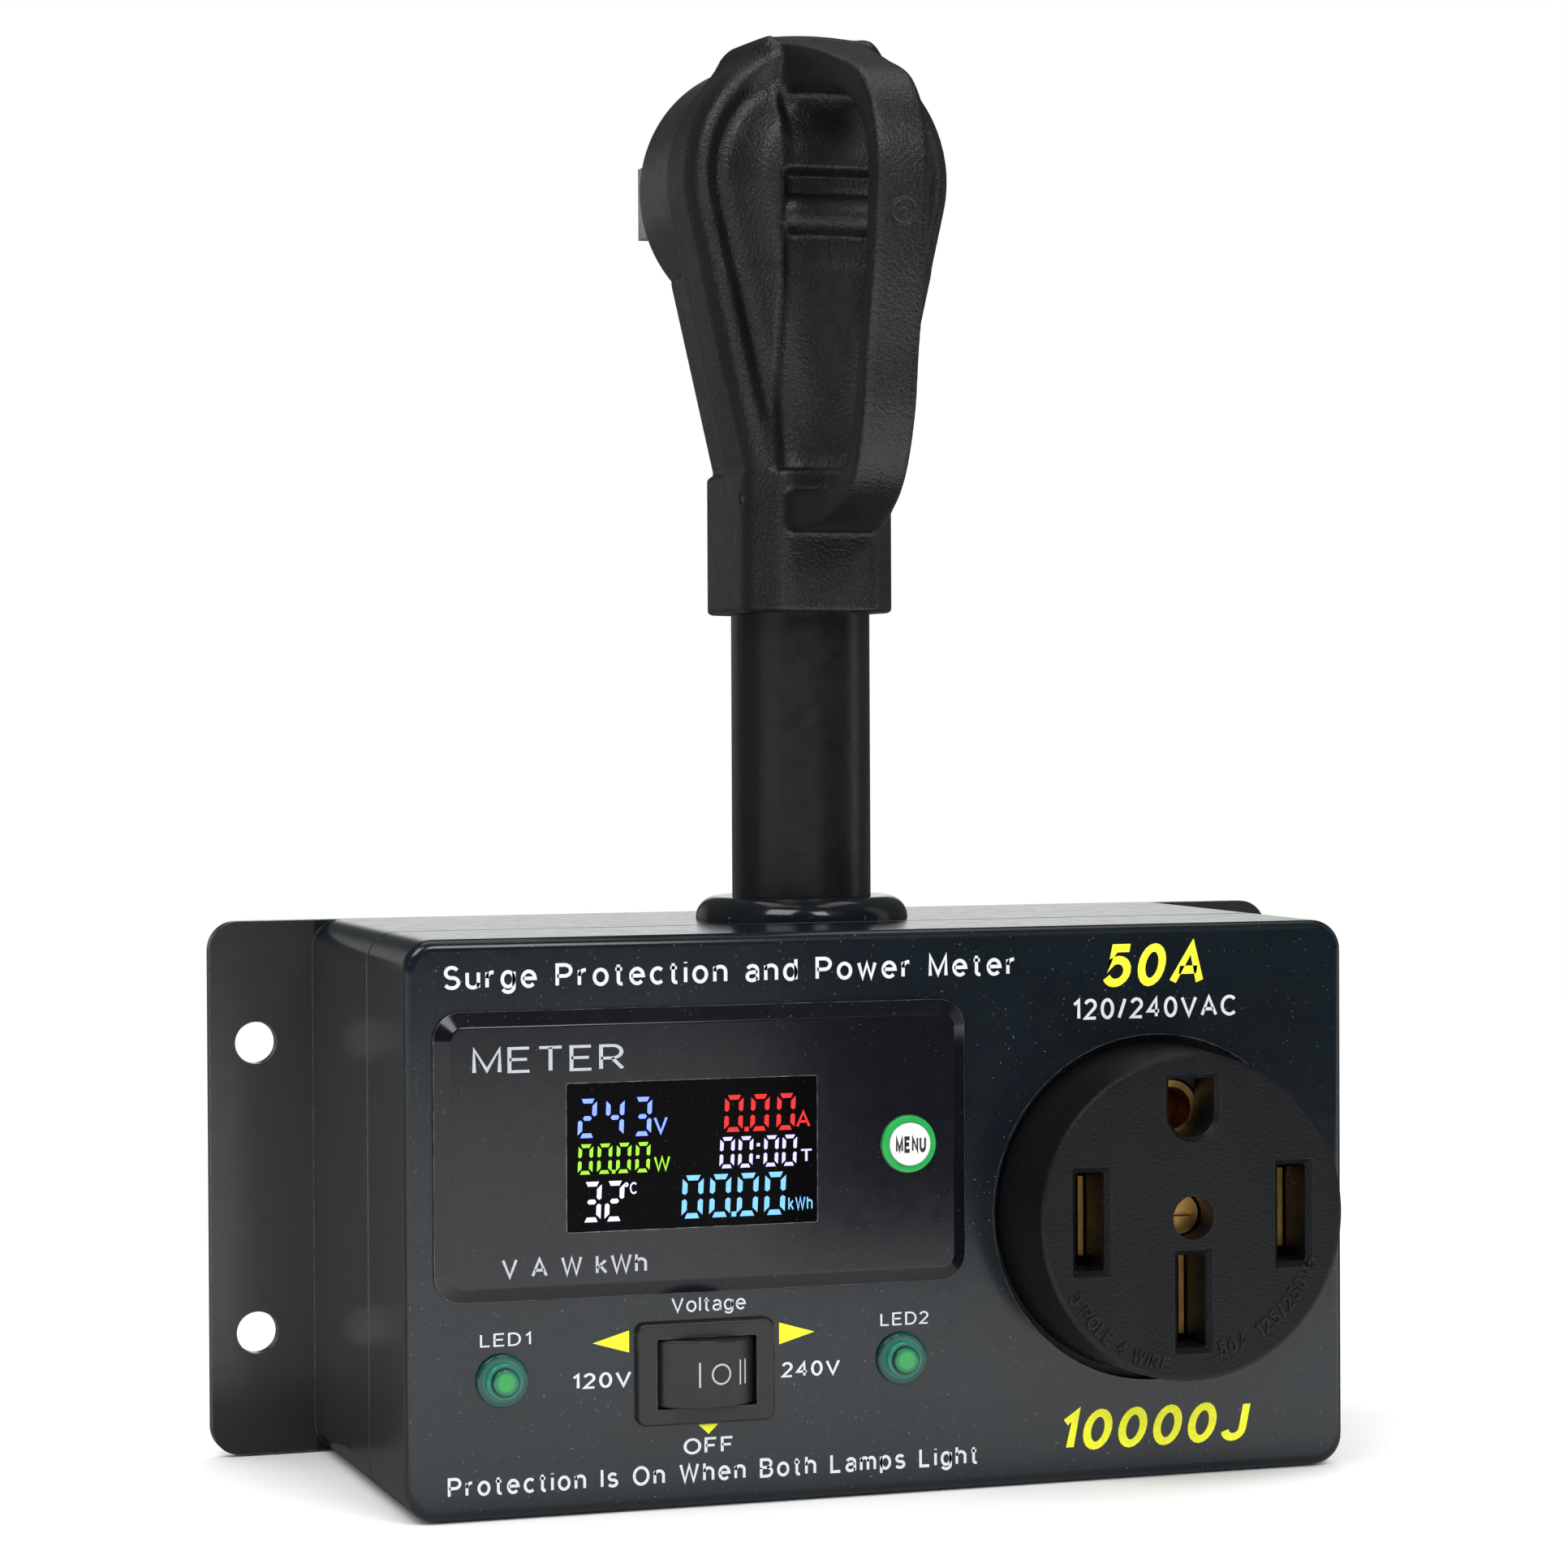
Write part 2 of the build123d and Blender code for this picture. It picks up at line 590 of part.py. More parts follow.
def receptacle_face():
    x, z = SOCKET_X, SOCKET_Z
    rim = at(x, SOCKET_FRONT_Y, z) * Circle(SOCKET_R)
    root = at(x, PANEL_BACK_Y, z) * Circle(SOCKET_R + SOCKET_DRAFT)
    face = loft([rim, root])
    face = fillet(ring_edges(face, SOCKET_FRONT_Y), 0.9)
    face += slab(SOCKET_FLANGE, SOCKET_FLANGE, SOCKET_CORNER_R, PANEL_BACK_Y, FLANGE_BACK_Y, x, z)
    face -= disc(SOCKET_R - 2.6, SOCKET_PLATE_Y, FLANGE_BACK_Y, x, z)
    for side in (-1, 1):
        face -= tapered_slot(SLOT_W, SLOT_H, x + side * HOT_X, z)
    face -= tapered_slot(SLOT_W, NEUTRAL_SLOT_H, x, NEUTRAL_SOCKET_Z)
    face -= at(x, SOCKET_PLATE_Y, GROUND_SOCKET_Z) * extrude(ground_outline(0.0), amount=SOCKET_PLATE_T)
    mouth = at(x, SOCKET_FRONT_Y, GROUND_SOCKET_Z) * ground_outline(0.8)
    throat = at(x, SOCKET_FRONT_Y + 0.9, GROUND_SOCKET_Z) * ground_outline(0.0)
    face -= loft([mouth, throat])
    face -= disc(CENTRE_HOLE_R, SOCKET_FRONT_Y, SOCKET_PLATE_Y, x, z)
    for sx, sz in SOCKET_SCREWS:
        face -= disc(SMALL_SCREW_R + FIT, PANEL_BACK_Y, FLANGE_BACK_Y, sx, sz)
    return face


def tail_slot(x, z):
    """The slot that a contact's flat tail passes through."""
    return block((x - 1.1, x + 1.1), (CONTACT_BACK_Y, BODY_BACK_Y), (z - 4.1, z + 4.1))


def receptacle_body():
    x, z = SOCKET_X, SOCKET_Z
    body = disc(SOCKET_R - 2.7, SOCKET_PLATE_Y, BODY_BACK_Y, x, z)
    clamp_y = FLANGE_BACK_Y + CLAMP_FLANGE_T
    body += slab(SOCKET_FLANGE, SOCKET_FLANGE, SOCKET_CORNER_R, FLANGE_BACK_Y, clamp_y, x, z)
    for dx, dz in ((-HOT_X, 0.0), (HOT_X, 0.0), (0.0, NEUTRAL_DZ)):
        body -= slab(5.4, 16.6, 0.3, SOCKET_PLATE_Y, CONTACT_BACK_Y, x + dx, z + dz)
        body -= tail_slot(x + dx, z + dz)
    body -= disc(5.0, SOCKET_PLATE_Y, CONTACT_BACK_Y, x, GROUND_SOCKET_Z)
    body -= tail_slot(x, GROUND_SOCKET_Z)
    body -= disc(2.05, SOCKET_PLATE_Y, SOCKET_PLATE_Y + 18.0, x, z)
    for sx, sz in SOCKET_SCREWS:
        body -= disc(SMALL_SCREW_R + FIT, FLANGE_BACK_Y, clamp_y, sx, sz)
    return body


def lug(x, y, z):
    """A brass terminal block with a wire hole along X and a clamp-screw hole on top."""
    cube = block((x - LUG, x + LUG), (y - LUG, y + LUG), (z - LUG, z + LUG))
    cube -= bar(WIRE_R + FIT / 2, x - LUG, x + LUG - 1.5, y, z)
    return cube - column(1.6, z, z + LUG, x, y)


def blade_contact(x, z, lug_y):
    """A folded double-wipe contact with its tail and terminal block."""
    leaf_h = 6.5
    front = SOCKET_PLATE_Y + 0.3
    contact = block((x - 2.4, x + 2.4), (CONTACT_BACK_Y - 1.0, CONTACT_BACK_Y), (z - leaf_h, z + leaf_h))
    for side in (-1, 1):
        inner = x + side * 1.3
        outer = x + side * 2.2
        leaf = (min(inner, outer), max(inner, outer))
        contact += block(leaf, (front, CONTACT_BACK_Y - 1.0), (z - leaf_h, z + leaf_h))
    contact += block((x - 1.0, x + 1.0), (CONTACT_BACK_Y, lug_y - LUG), (z - 4.0, z + 4.0))
    return contact + lug(x, lug_y, z)


def ground_contact():
    x, z = SOCKET_X, GROUND_SOCKET_Z
    contact = disc(4.6, SOCKET_PLATE_Y + 0.3, CONTACT_BACK_Y, x, z)
    contact -= disc(3.5, SOCKET_PLATE_Y + 0.3, CONTACT_BACK_Y - 1.0, x, z)
    contact += block((x - 1.0, x + 1.0), (CONTACT_BACK_Y, FRONT_WIRE_Y - LUG), (z - 4.0, z + 4.0))
    return contact + lug(x, FRONT_WIRE_Y, z)


def terminal_screws():
    spots = [
        (SOCKET_X - HOT_X, FRONT_WIRE_Y, SOCKET_Z),
        (SOCKET_X + HOT_X, LINE_2_LUG_Y, SOCKET_Z),
        (SOCKET_X, BACK_WIRE_Y, NEUTRAL_SOCKET_Z),
        (SOCKET_X, FRONT_WIRE_Y, GROUND_SOCKET_Z),
    ]
    screws = []
    for x, y, z in spots:
        screw = column(SMALL_SCREW_R, z + WIRE_R + FIT, z + LUG + FIT, x, y)
        screws.append(screw + column(2.4, z + LUG, z + LUG + 1.8, x, y))
    return screws


def centre_screw():
    head_y = SOCKET_FRONT_Y + 6.0
    screw = disc(3.3, head_y, SOCKET_PLATE_Y, SOCKET_X, SOCKET_Z)
    screw += disc(2.0, SOCKET_PLATE_Y, SOCKET_PLATE_Y + 16.0, SOCKET_X, SOCKET_Z)
    x = (SOCKET_X - 2.2, SOCKET_X + 2.2)
    return screw - block(x, (head_y, head_y + 0.8), (SOCKET_Z - DRIVE_HALF, SOCKET_Z + DRIVE_HALF))


def receptacle_screws():
    head_y = FLANGE_BACK_Y + 5.0
    tip_y = PANEL_BACK_Y - 1.3
    return [pan_screw(x, z, head_y, tip_y, SMALL_SCREW_R, SMALL_HEAD_R, 2.0) for x, z in SOCKET_SCREWS]


# ---------------------------------------------------------------- surge circuit

def surge_board():
    board = block(BOARD_X, (BOARD_FRONT_Y, BOARD_BACK_Y), BOARD_Z)
    for x, z in BOARD_POSTS:
        board -= disc(SMALL_SCREW_R + FIT, BOARD_FRONT_Y, BOARD_BACK_Y, x, z)
    return board


def board_screws():
    screws = []
    for x, z in BOARD_POSTS:
        screw = disc(SMALL_SCREW_R, BOARD_FRONT_Y, BOARD_BACK_Y + 4.0, x, z)
        screws.append(screw + disc(SMALL_HEAD_R, BOARD_FRONT_Y - 1.8, BOARD_FRONT_Y, x, z))
    return screws


def varistors():
    discs = []
    for x in MOV_X:
        centre_y = BOARD_FRONT_Y - 3.0 - MOV_R
        mov = bar(MOV_R, x - 2.6, x + 2.6, centre_y, MOV_Z)
        mov = fillet(mov.edges().filter_by(GeomType.CIRCLE), 1.2)
        for dz in (-3.75, 3.75):
            mov += disc(PIN_R, centre_y + 6.0, BOARD_FRONT_Y, x, MOV_Z + dz)
        discs.append(mov)
    return discs


def thermal_fuses():
    fuses = []
    axis_y = BOARD_FRONT_Y - FUSE_OUT
    low_x, high_x = FUSE_X[0] - 3.0, FUSE_X[1] + 3.0
    for z in FUSE_Z:
        fuse = bar(2.1, *FUSE_X, axis_y, z)
        fuse += bar(PIN_R, low_x - PIN_R, high_x + PIN_R, axis_y, z)
        for x in (low_x, high_x):
            fuse += disc(PIN_R, axis_y, BOARD_FRONT_Y, x, z)
        fuses.append(fuse)
    return fuses


def gas_tube():
    tube = bar(4.0, *GAS_TUBE_X, BOARD_FRONT_Y - 5.0, GAS_TUBE_Z)
    for x in (GAS_TUBE_X[0] + PIN_R, GAS_TUBE_X[1] - PIN_R):
        tube += disc(PIN_R, BOARD_FRONT_Y - 1.5, BOARD_FRONT_Y, x, GAS_TUBE_Z)
    return tube


def board_terminals():
    """A four-pole terminal strip at the board's lower right corner."""
    strip = block(STRIP_X, (BOARD_FRONT_Y - 9.0, BOARD_FRONT_Y), STRIP_Z)
    for z in LEAD_Z:
        strip -= bar(LEAD_R + FIT, STRIP_X[1] - 4.0, STRIP_X[1], LEAD_Y, z)
    return strip


def surge_leads():
    """Thin leads from the terminal strip to the four receptacle terminals."""
    gap = LUG + 2 * FIT
    line_x = SOCKET_X - HOT_X
    routes = [
        ([(18.0, -14.0, -27.0)], (SOCKET_X, BACK_WIRE_Y, NEUTRAL_SOCKET_Z - gap), UP),
        ([(8.0, -18.0, -20.5)], (line_x, FRONT_WIRE_Y, SOCKET_Z - gap), UP),
        ([(26.0, -9.5, -12.0)], (SOCKET_X + HOT_X, LINE_2_LUG_Y, SOCKET_Z - gap), UP),
        ([(4.0, -9.5, 2.0), (32.0, -9.5, 14.0)], (SOCKET_X, FRONT_WIRE_Y + gap, GROUND_SOCKET_Z), FORWARD),
    ]
    leads = []
    for z, (middle, end, end_way) in zip(LEAD_Z, routes):
        points = [(STRIP_X[1] - 3.8, LEAD_Y, z), (STRIP_X[1] + 4.0, LEAD_Y, z), *middle, end]
        leads.append(cable(points, LEAD_R, (1, 0, 0), end_way))
    return leads


def current_transformer():
    """A ring round line 1 that senses its current."""
    ring = bar(CT_R, *CT_X, FRONT_WIRE_Y, SOCKET_Z)
    ring = fillet(ring.edges().filter_by(GeomType.CIRCLE), 1.0)
    return ring - bar(WIRE_R + 3 * FIT, *CT_X, FRONT_WIRE_Y, SOCKET_Z)


def meter_leads():
    """Two supply leads from the surge board and two from the current transformer."""
    y = METER_BACK_Y + METER_TERMINAL_D
    leads = []
    for i in range(2):
        x = METER_LEAD_X + METER_POLE * i
        bow = (x + 1.5, (y + BOARD_FRONT_Y) / 2, METER_Z - 6.0)
        end = (x, BOARD_FRONT_Y, METER_Z - 9.0)
        leads.append(cable([(x, y, METER_Z), bow, end], LEAD_R, (0, 1, 0), (0, 1, 0)))
    for i in range(2):
        x = METER_LEAD_X + METER_POLE * (i + 2)
        end_x = CT_X[0] + 2.0 + 3.0 * i
        bow = (1.0, y + 1.0, METER_Z - 4.0 - 4.0 * i)
        end = (end_x, FRONT_WIRE_Y - CT_R - 1.2, SOCKET_Z)
        leads.append(cable([(x, y, METER_Z), bow, end], LEAD_R, (0, 1, 0), (0, 0, -1)))
    return leads


# ---------------------------------------------------------------- gland and cord

def gland_body():
    step_z, top_z = ROOF_Z + 1.2, ROOF_Z + 2.0
    points = [
        (GLAND_BORE_R, GLAND_FOOT_Z),
        (GLAND_THREAD_R, GLAND_FOOT_Z),
        (GLAND_THREAD_R, ROOF_Z),
        (GLAND_COLLAR_R, ROOF_Z),
        (GLAND_COLLAR_R, step_z),
        (GLAND_THREAD_R, step_z),
        (GLAND_THREAD_R, top_z),
        (SEAL_R, top_z),
        (SEAL_R, SEAL_Z),
        (GLAND_BORE_R, SEAL_Z),
    ]
    return lathe_z(points)


def gland_seal():
    top_z = ROOF_Z + 2.0
    return lathe_z([(CORD_R, SEAL_Z), (SEAL_R, SEAL_Z), (SEAL_R, top_z), (CORD_R, top_z)])


def gland_dome():
    dome = column(GLAND_R, ROOF_Z, GLAND_TOP_Z)
    top = dome.edges().filter_by_position(Axis.Z, GLAND_TOP_Z - 0.01, GLAND_TOP_Z + 0.01)
    dome = fillet(top, GLAND_ROUND)
    dome -= column(GLAND_COLLAR_R + FIT / 2, ROOF_Z, ROOF_Z + 1.3)
    dome -= column(GLAND_THREAD_R + FIT / 2, ROOF_Z, ROOF_Z + 2.1)
    return dome - column(CORD_R + FIT / 2, ROOF_Z, GLAND_TOP_Z)


def gland_locknut():
    z = ROOF_Z - WALL - LOCKNUT_H
    nut = Pos(0, CORD_Y, z) * extrude(RegularPolygon(LOCKNUT_R, 6), amount=LOCKNUT_H)
    return nut - column(GLAND_THREAD_R, z, z + LOCKNUT_H)


def cord_jacket():
    return column(CORD_R, JACKET_LOW_Z, JACKET_HIGH_Z) - column(CORE_R, JACKET_LOW_Z, JACKET_HIGH_Z)


def riser(x, y, points):
    """The straight run in the cord and the curve up to a blade's crimp barrel."""
    straight = column(WIRE_R, JACKET_LOW_Z, JACKET_HIGH_Z, x, y)
    return straight + cable([(x, y, JACKET_HIGH_Z), *points], WIRE_R, UP, UP)


def barrel_run(x, y, top):
    """The last straight points of a wire, inside and just below its crimp barrel."""
    return [(x, y, top - 12.0), (x, y, top - 8.0), (x, y, top - 4.0), (x, y, top)]


def elbow(x, y, end_x, end_z):
    """A wire that drops from the cord and turns towards a terminal block."""
    corner = (x, y, end_z)
    path = FilletPolyline((x, y, JACKET_LOW_Z), corner, (end_x, y, end_z), radius=BEND_R)
    return sweep(Plane(origin=path @ 0, z_dir=path % 0) * Circle(WIRE_R), path=path)


def line_wire_1():
    wire = riser(-WIRE_OFFSET, FRONT_WIRE_Y, barrel_run(-HOT_BARREL_X, HOT_BARREL_Y, HOT_WIRE_TOP))
    return wire + elbow(-WIRE_OFFSET, FRONT_WIRE_Y, SOCKET_X - HOT_X - LUG_REACH, SOCKET_Z)


def line_wire_2():
    """Line 2 swings behind line 1 to reach the far terminal."""
    wire = riser(WIRE_OFFSET, BACK_WIRE_Y, barrel_run(HOT_BARREL_X, HOT_BARREL_Y, HOT_WIRE_TOP))
    start = (WIRE_OFFSET, BACK_WIRE_Y, JACKET_LOW_Z)
    swing = [(6.0, -19.0, 14.0), (12.5, LINE_2_LUG_Y, 3.0), (24.0, LINE_2_LUG_Y, SOCKET_Z)]
    end = (SOCKET_X + HOT_X - LUG_REACH, LINE_2_LUG_Y, SOCKET_Z)
    return wire + cable([start, *swing, end], WIRE_R, (0, 0, -1), (1, 0, 0))


def neutral_wire():
    wire = riser(-WIRE_OFFSET, BACK_WIRE_Y, barrel_run(0.0, NEUTRAL_BARREL_Y, NEUTRAL_WIRE_TOP))
    return wire + elbow(-WIRE_OFFSET, BACK_WIRE_Y, SOCKET_X - LUG_REACH, NEUTRAL_SOCKET_Z)


def ground_wire():
    y = GROUND_BARREL_Y
    bend = [(0.8, y + 0.9, 133.0), (0.0, y, 146.0)]
    wire = riser(WIRE_OFFSET, FRONT_WIRE_Y, bend + barrel_run(0.0, y, GROUND_WIRE_TOP))
    return wire + elbow(WIRE_OFFSET, FRONT_WIRE_Y, SOCKET_X - LUG_REACH, GROUND_SOCKET_Z)


# ---------------------------------------------------------------- plug


def crimp_barrel(x, y, wire_top, top):
    """A tube that opens downwards on a wire's end, closed above it."""
    low = wire_top - 8.0
    return column(WIRE_R + 0.8, low, top, x, y) - column(WIRE_R + FIT / 2, low, wire_top, x, y)


def flat_blade(x, z, barrel_x, barrel_y, wire_top):
    """A flat blade with a tapered tip, a tail that bends inwards and a crimp barrel."""
    tip_y = PLUG_FACE_Y + BLADE_OUT
    half_t, half_tip = BLADE_T / 2, BLADE_TIP_T / 2
    root_y, taper_y = barrel_y - half_t, tip_y - BLADE_TAPER
    right = [(half_t, root_y), (half_t, taper_y), (half_tip, tip_y)]
    left = [(-dx, y) for dx, y in reversed(right)]
    outline = make_face(Polyline(*right, *left, close=True))
    blade = Pos(x, 0, z - BLADE_H / 2) * extrude(outline, amount=BLADE_H)
    corner = blade.edges().filter_by(Axis.X).filter_by_position(Axis.Y, tip_y - 1.0, tip_y)
    blade = fillet(corner, 1.2)
    if barrel_x != x:
        tail_x = (min(x, barrel_x) - half_t, max(x, barrel_x) + half_t)
        blade += block(tail_x, (barrel_y - half_t, barrel_y + half_t), (z - 4.0, z + 4.0))
    return blade + crimp_barrel(barrel_x, barrel_y, wire_top, z + 4.0)


def blade_line_1():
    return flat_blade(-HOT_X, HEAD_Z, -HOT_BARREL_X, HOT_BARREL_Y, HOT_WIRE_TOP)


def blade_line_2():
    return flat_blade(HOT_X, HEAD_Z, HOT_BARREL_X, HOT_BARREL_Y, HOT_WIRE_TOP)


def blade_neutral():
    return flat_blade(0.0, HEAD_Z + NEUTRAL_DZ, 0.0, NEUTRAL_BARREL_Y, NEUTRAL_WIRE_TOP)


def ground_pin():
    tip_y = PLUG_FACE_Y + GROUND_PIN_OUT
    pin = disc(GROUND_PIN_R, PLUG_FACE_Y, tip_y, 0.0, GROUND_PIN_Z)
    pin = fillet(ring_edges(pin, tip_y), GROUND_PIN_ROUND)
    pin += disc(GROUND_SHANK_R, GROUND_BARREL_Y, PLUG_FACE_Y, 0.0, GROUND_PIN_Z)
    return pin + crimp_barrel(0.0, GROUND_BARREL_Y, GROUND_WIRE_TOP, GROUND_PIN_Z)


def main_solid(shape):
    """The moulding itself, without the slivers that fill its cavities."""
    return max(shape.solids(), key=lambda solid: solid.volume)


METAL = [blade_line_1, blade_line_2, blade_neutral, ground_pin]
CORE = [line_wire_1, line_wire_2, neutral_wire, ground_wire]


def plug_insert(metal, core):
    """The rigid disc that holds the blades and forms the plug's mating face."""
    insert = disc(FACE_R, SHELL_BACK_Y, PLUG_FACE_Y, 0.0, HEAD_Z)
    insert = fillet(ring_edges(insert, PLUG_FACE_Y), 1.2)
    insert += disc(FACE_R - 4.5, SHELL_BACK_Y - 6.0, SHELL_BACK_Y, 0.0, HEAD_Z)
    for piece in metal + core:
        insert -= piece
    return main_solid(insert)


def neck():
    """The tapering body between the collar and the head."""
    foot_z = COLLAR_Z + COLLAR_H - 3.0
    shoulder_z = HEAD_Z - 19.5
    foot_front, shoulder_front = -44.5, -46.0
    foot = RectangleRounded(25.0, NECK_BACK_Y - foot_front, 8.0)
    shoulder = RectangleRounded(34.0, NECK_BACK_Y - shoulder_front, 8.0)
    foot = Pos(0, (foot_front + NECK_BACK_Y) / 2, foot_z) * foot
    shoulder = Pos(0, (shoulder_front + NECK_BACK_Y) / 2, shoulder_z) * shoulder
    return loft([foot, shoulder])


def collar():
    """The eight-sided sleeve moulded over the end of the cord."""
    side, flat = 13.5, 8.3
    front, front_side, back_side, back = -44.0, -37.5, -15.0, -10.0
    outline = Polyline(
        (-flat, front),
        (flat, front),
        (side, front_side),
        (side, back_side),
        (flat, back),
        (-flat, back),
        (-side, back_side),
        (-side, front_side),
        close=True,
    )
    sleeve = Pos(0, 0, COLLAR_Z) * extrude(make_face(outline), amount=COLLAR_H)
    return fillet(sleeve.edges().filter_by(Axis.Z), 1.5)


def head():
    """A round shell with a raised boss in its middle that carries the handle."""
    shell = disc(HEAD_R, SHELL_FRONT_Y, SHELL_BACK_Y, 0.0, HEAD_Z)
    shell = fillet(ring_edges(shell, SHELL_FRONT_Y), 2.4)
    boss = disc(16.5, BULGE_FRONT_Y, SHELL_FRONT_Y + 5.0, 0.0, HEAD_Z)
    boss = fillet(ring_edges(boss, BULGE_FRONT_Y), 6.0)
    bridge = block((-12.0, 12.0), (-46.0, SHELL_BACK_Y), (HEAD_Z - 24.0, HEAD_Z))
    return shell + boss + bridge


def handle():
    """A leaning strap in front of the body that a hand pulls on."""
    front = HANDLE_FRONT_Y
    outer = Spline(
        (-30.0, 195.8),
        (-47.0, 194.3),
        (-62.0, 189.3),
        (-74.7, 184.1),
        (front, 172.5),
        (-80.1, 157.0),
        (-76.0, 141.0),
        (-74.2, 130.0),
        (-69.0, 119.8),
        (-60.0, 114.5),
        (-40.0, 111.0),
    )
    inner = Spline(
        (-40.0, 117.5),
        (-55.0, 118.3),
        (-63.5, 122.0),
        (-69.0, 131.0),
        (-71.5, 143.0),
        (-75.0, 157.0),
        (-75.8, 172.0),
        (-70.0, 180.5),
        (-58.0, 184.8),
        (-30.0, 187.0),
    )
    outline = make_face([outer, Line(outer @ 1, inner @ 0), inner, Line(inner @ 1, outer @ 0)])
    side = at(-HANDLE_W / 2, 0, 0, (1, 0, 0), (0, 1, 0))
    return side * extrude(outline, amount=HANDLE_W)


def plug_body(metal, core, insert, jacket):
    body = head() + neck() + collar() + handle()
    for piece in [insert, jacket, *metal, *core]:
        body -= piece
    body -= column(CORE_R, COLLAR_Z, JACKET_HIGH_Z)
    return main_solid(body)


# ---------------------------------------------------------------- output


def save(name, shape):
    """Write one node; a list of solids becomes one group."""
    if isinstance(shape, list):
        shape = Compound(children=shape) if len(shape) > 1 else shape[0]
    export_step(shape, f"parts/{name}.step")


def main():
    os.makedirs("parts", exist_ok=True)
    metal = [make() for make in METAL]
    core = [make() for make in CORE]
    jacket = cord_jacket()
    insert = plug_insert(metal, core)
    parts = {
        "rear_base": rear_base(),
        "front_cover": front_cover(),
        "cover_gasket": cover_gasket(),
        "cover_screws": cover_screws(),
        "meter_bezel": meter_bezel(),
        "display_window": display_window(),
        "display_module": display_module(),
        "meter_board": meter_board(),
        "meter_housing": meter_housing(),
        "meter_terminals": meter_terminals(),
        "menu_ring": menu_ring(),
        "menu_button": menu_button(),
        "tact_switch": tact_switch(),
        "tact_plunger": tact_plunger(),
        "switch_housing": switch_housing(),
        "switch_rocker": switch_rocker(),
        "switch_plunger": switch_plunger(),
        "switch_contact": switch_contact(),
        "switch_terminals": switch_terminals(),
        "lamp_lens_1": lamp_lens(-1),
        "lamp_lens_2": lamp_lens(1),
        "lamp_led_1": lamp_led(-1),
        "lamp_led_2": lamp_led(1),
        "lamp_nuts": lamp_nuts(),
        "receptacle_face": receptacle_face(),
        "receptacle_body": receptacle_body(),
        "contact_line_1": blade_contact(SOCKET_X - HOT_X, SOCKET_Z, FRONT_WIRE_Y),
        "contact_line_2": blade_contact(SOCKET_X + HOT_X, SOCKET_Z, LINE_2_LUG_Y),
        "contact_neutral": blade_contact(SOCKET_X, NEUTRAL_SOCKET_Z, BACK_WIRE_Y),
        "contact_ground": ground_contact(),
        "terminal_screws": terminal_screws(),
        "centre_screw": centre_screw(),
        "receptacle_screws": receptacle_screws(),
        "surge_board": surge_board(),
        "board_screws": board_screws(),
        "varistors": varistors(),
        "thermal_fuses": thermal_fuses(),
        "gas_tube": gas_tube(),
        "board_terminals": board_terminals(),
        "surge_leads": surge_leads(),
        "current_transformer": current_transformer(),
        "meter_leads": meter_leads(),
        "gland_body": gland_body(),
        "gland_seal": gland_seal(),
        "gland_dome": gland_dome(),
        "gland_locknut": gland_locknut(),
        "cord_jacket": jacket,
        "line_wire_1": core[0],
        "line_wire_2": core[1],
        "neutral_wire": core[2],
        "ground_wire": core[3],
        "blade_line_1": metal[0],
        "blade_line_2": metal[1],
        "blade_neutral": metal[2],
        "ground_pin": metal[3],
        "plug_insert": insert,
        "plug_body": plug_body(metal, core, insert, jacket),
    }
    for name, shape in parts.items():
        save(name, shape)


main()
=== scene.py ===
import math

import bmesh
import bpy
import numpy as np
import openvdb
from mathutils import Matrix, Vector
from mathutils.bvhtree import BVHTree


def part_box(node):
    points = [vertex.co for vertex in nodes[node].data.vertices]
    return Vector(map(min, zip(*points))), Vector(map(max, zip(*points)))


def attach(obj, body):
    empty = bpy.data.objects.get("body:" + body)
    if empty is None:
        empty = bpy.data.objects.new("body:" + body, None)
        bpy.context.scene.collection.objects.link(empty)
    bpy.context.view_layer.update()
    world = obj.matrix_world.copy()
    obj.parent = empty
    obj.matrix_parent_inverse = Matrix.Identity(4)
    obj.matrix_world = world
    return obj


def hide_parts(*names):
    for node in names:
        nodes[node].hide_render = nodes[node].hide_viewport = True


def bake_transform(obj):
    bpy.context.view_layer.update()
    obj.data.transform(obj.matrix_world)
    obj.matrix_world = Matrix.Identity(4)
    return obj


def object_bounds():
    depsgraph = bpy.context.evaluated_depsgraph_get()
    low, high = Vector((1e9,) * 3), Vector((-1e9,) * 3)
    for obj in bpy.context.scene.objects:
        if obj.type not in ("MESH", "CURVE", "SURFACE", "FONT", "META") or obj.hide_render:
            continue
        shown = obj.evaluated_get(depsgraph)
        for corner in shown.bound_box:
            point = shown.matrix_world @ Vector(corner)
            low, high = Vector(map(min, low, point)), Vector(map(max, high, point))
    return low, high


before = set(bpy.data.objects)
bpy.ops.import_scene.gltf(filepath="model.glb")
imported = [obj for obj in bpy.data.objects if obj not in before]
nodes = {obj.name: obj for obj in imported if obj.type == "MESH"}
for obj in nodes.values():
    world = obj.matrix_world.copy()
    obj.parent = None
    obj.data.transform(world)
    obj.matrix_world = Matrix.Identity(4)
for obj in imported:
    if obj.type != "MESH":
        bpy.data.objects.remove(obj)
cad_low, cad_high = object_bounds()

MM = 0.001


def box(node):
    """Lowest and highest corner of a CAD node, in millimetres."""
    low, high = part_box(node)
    return np.array(low) / MM, np.array(high) / MM


def middle(node):
    low, high = box(node)
    return (low + high) / 2


# ---- materials

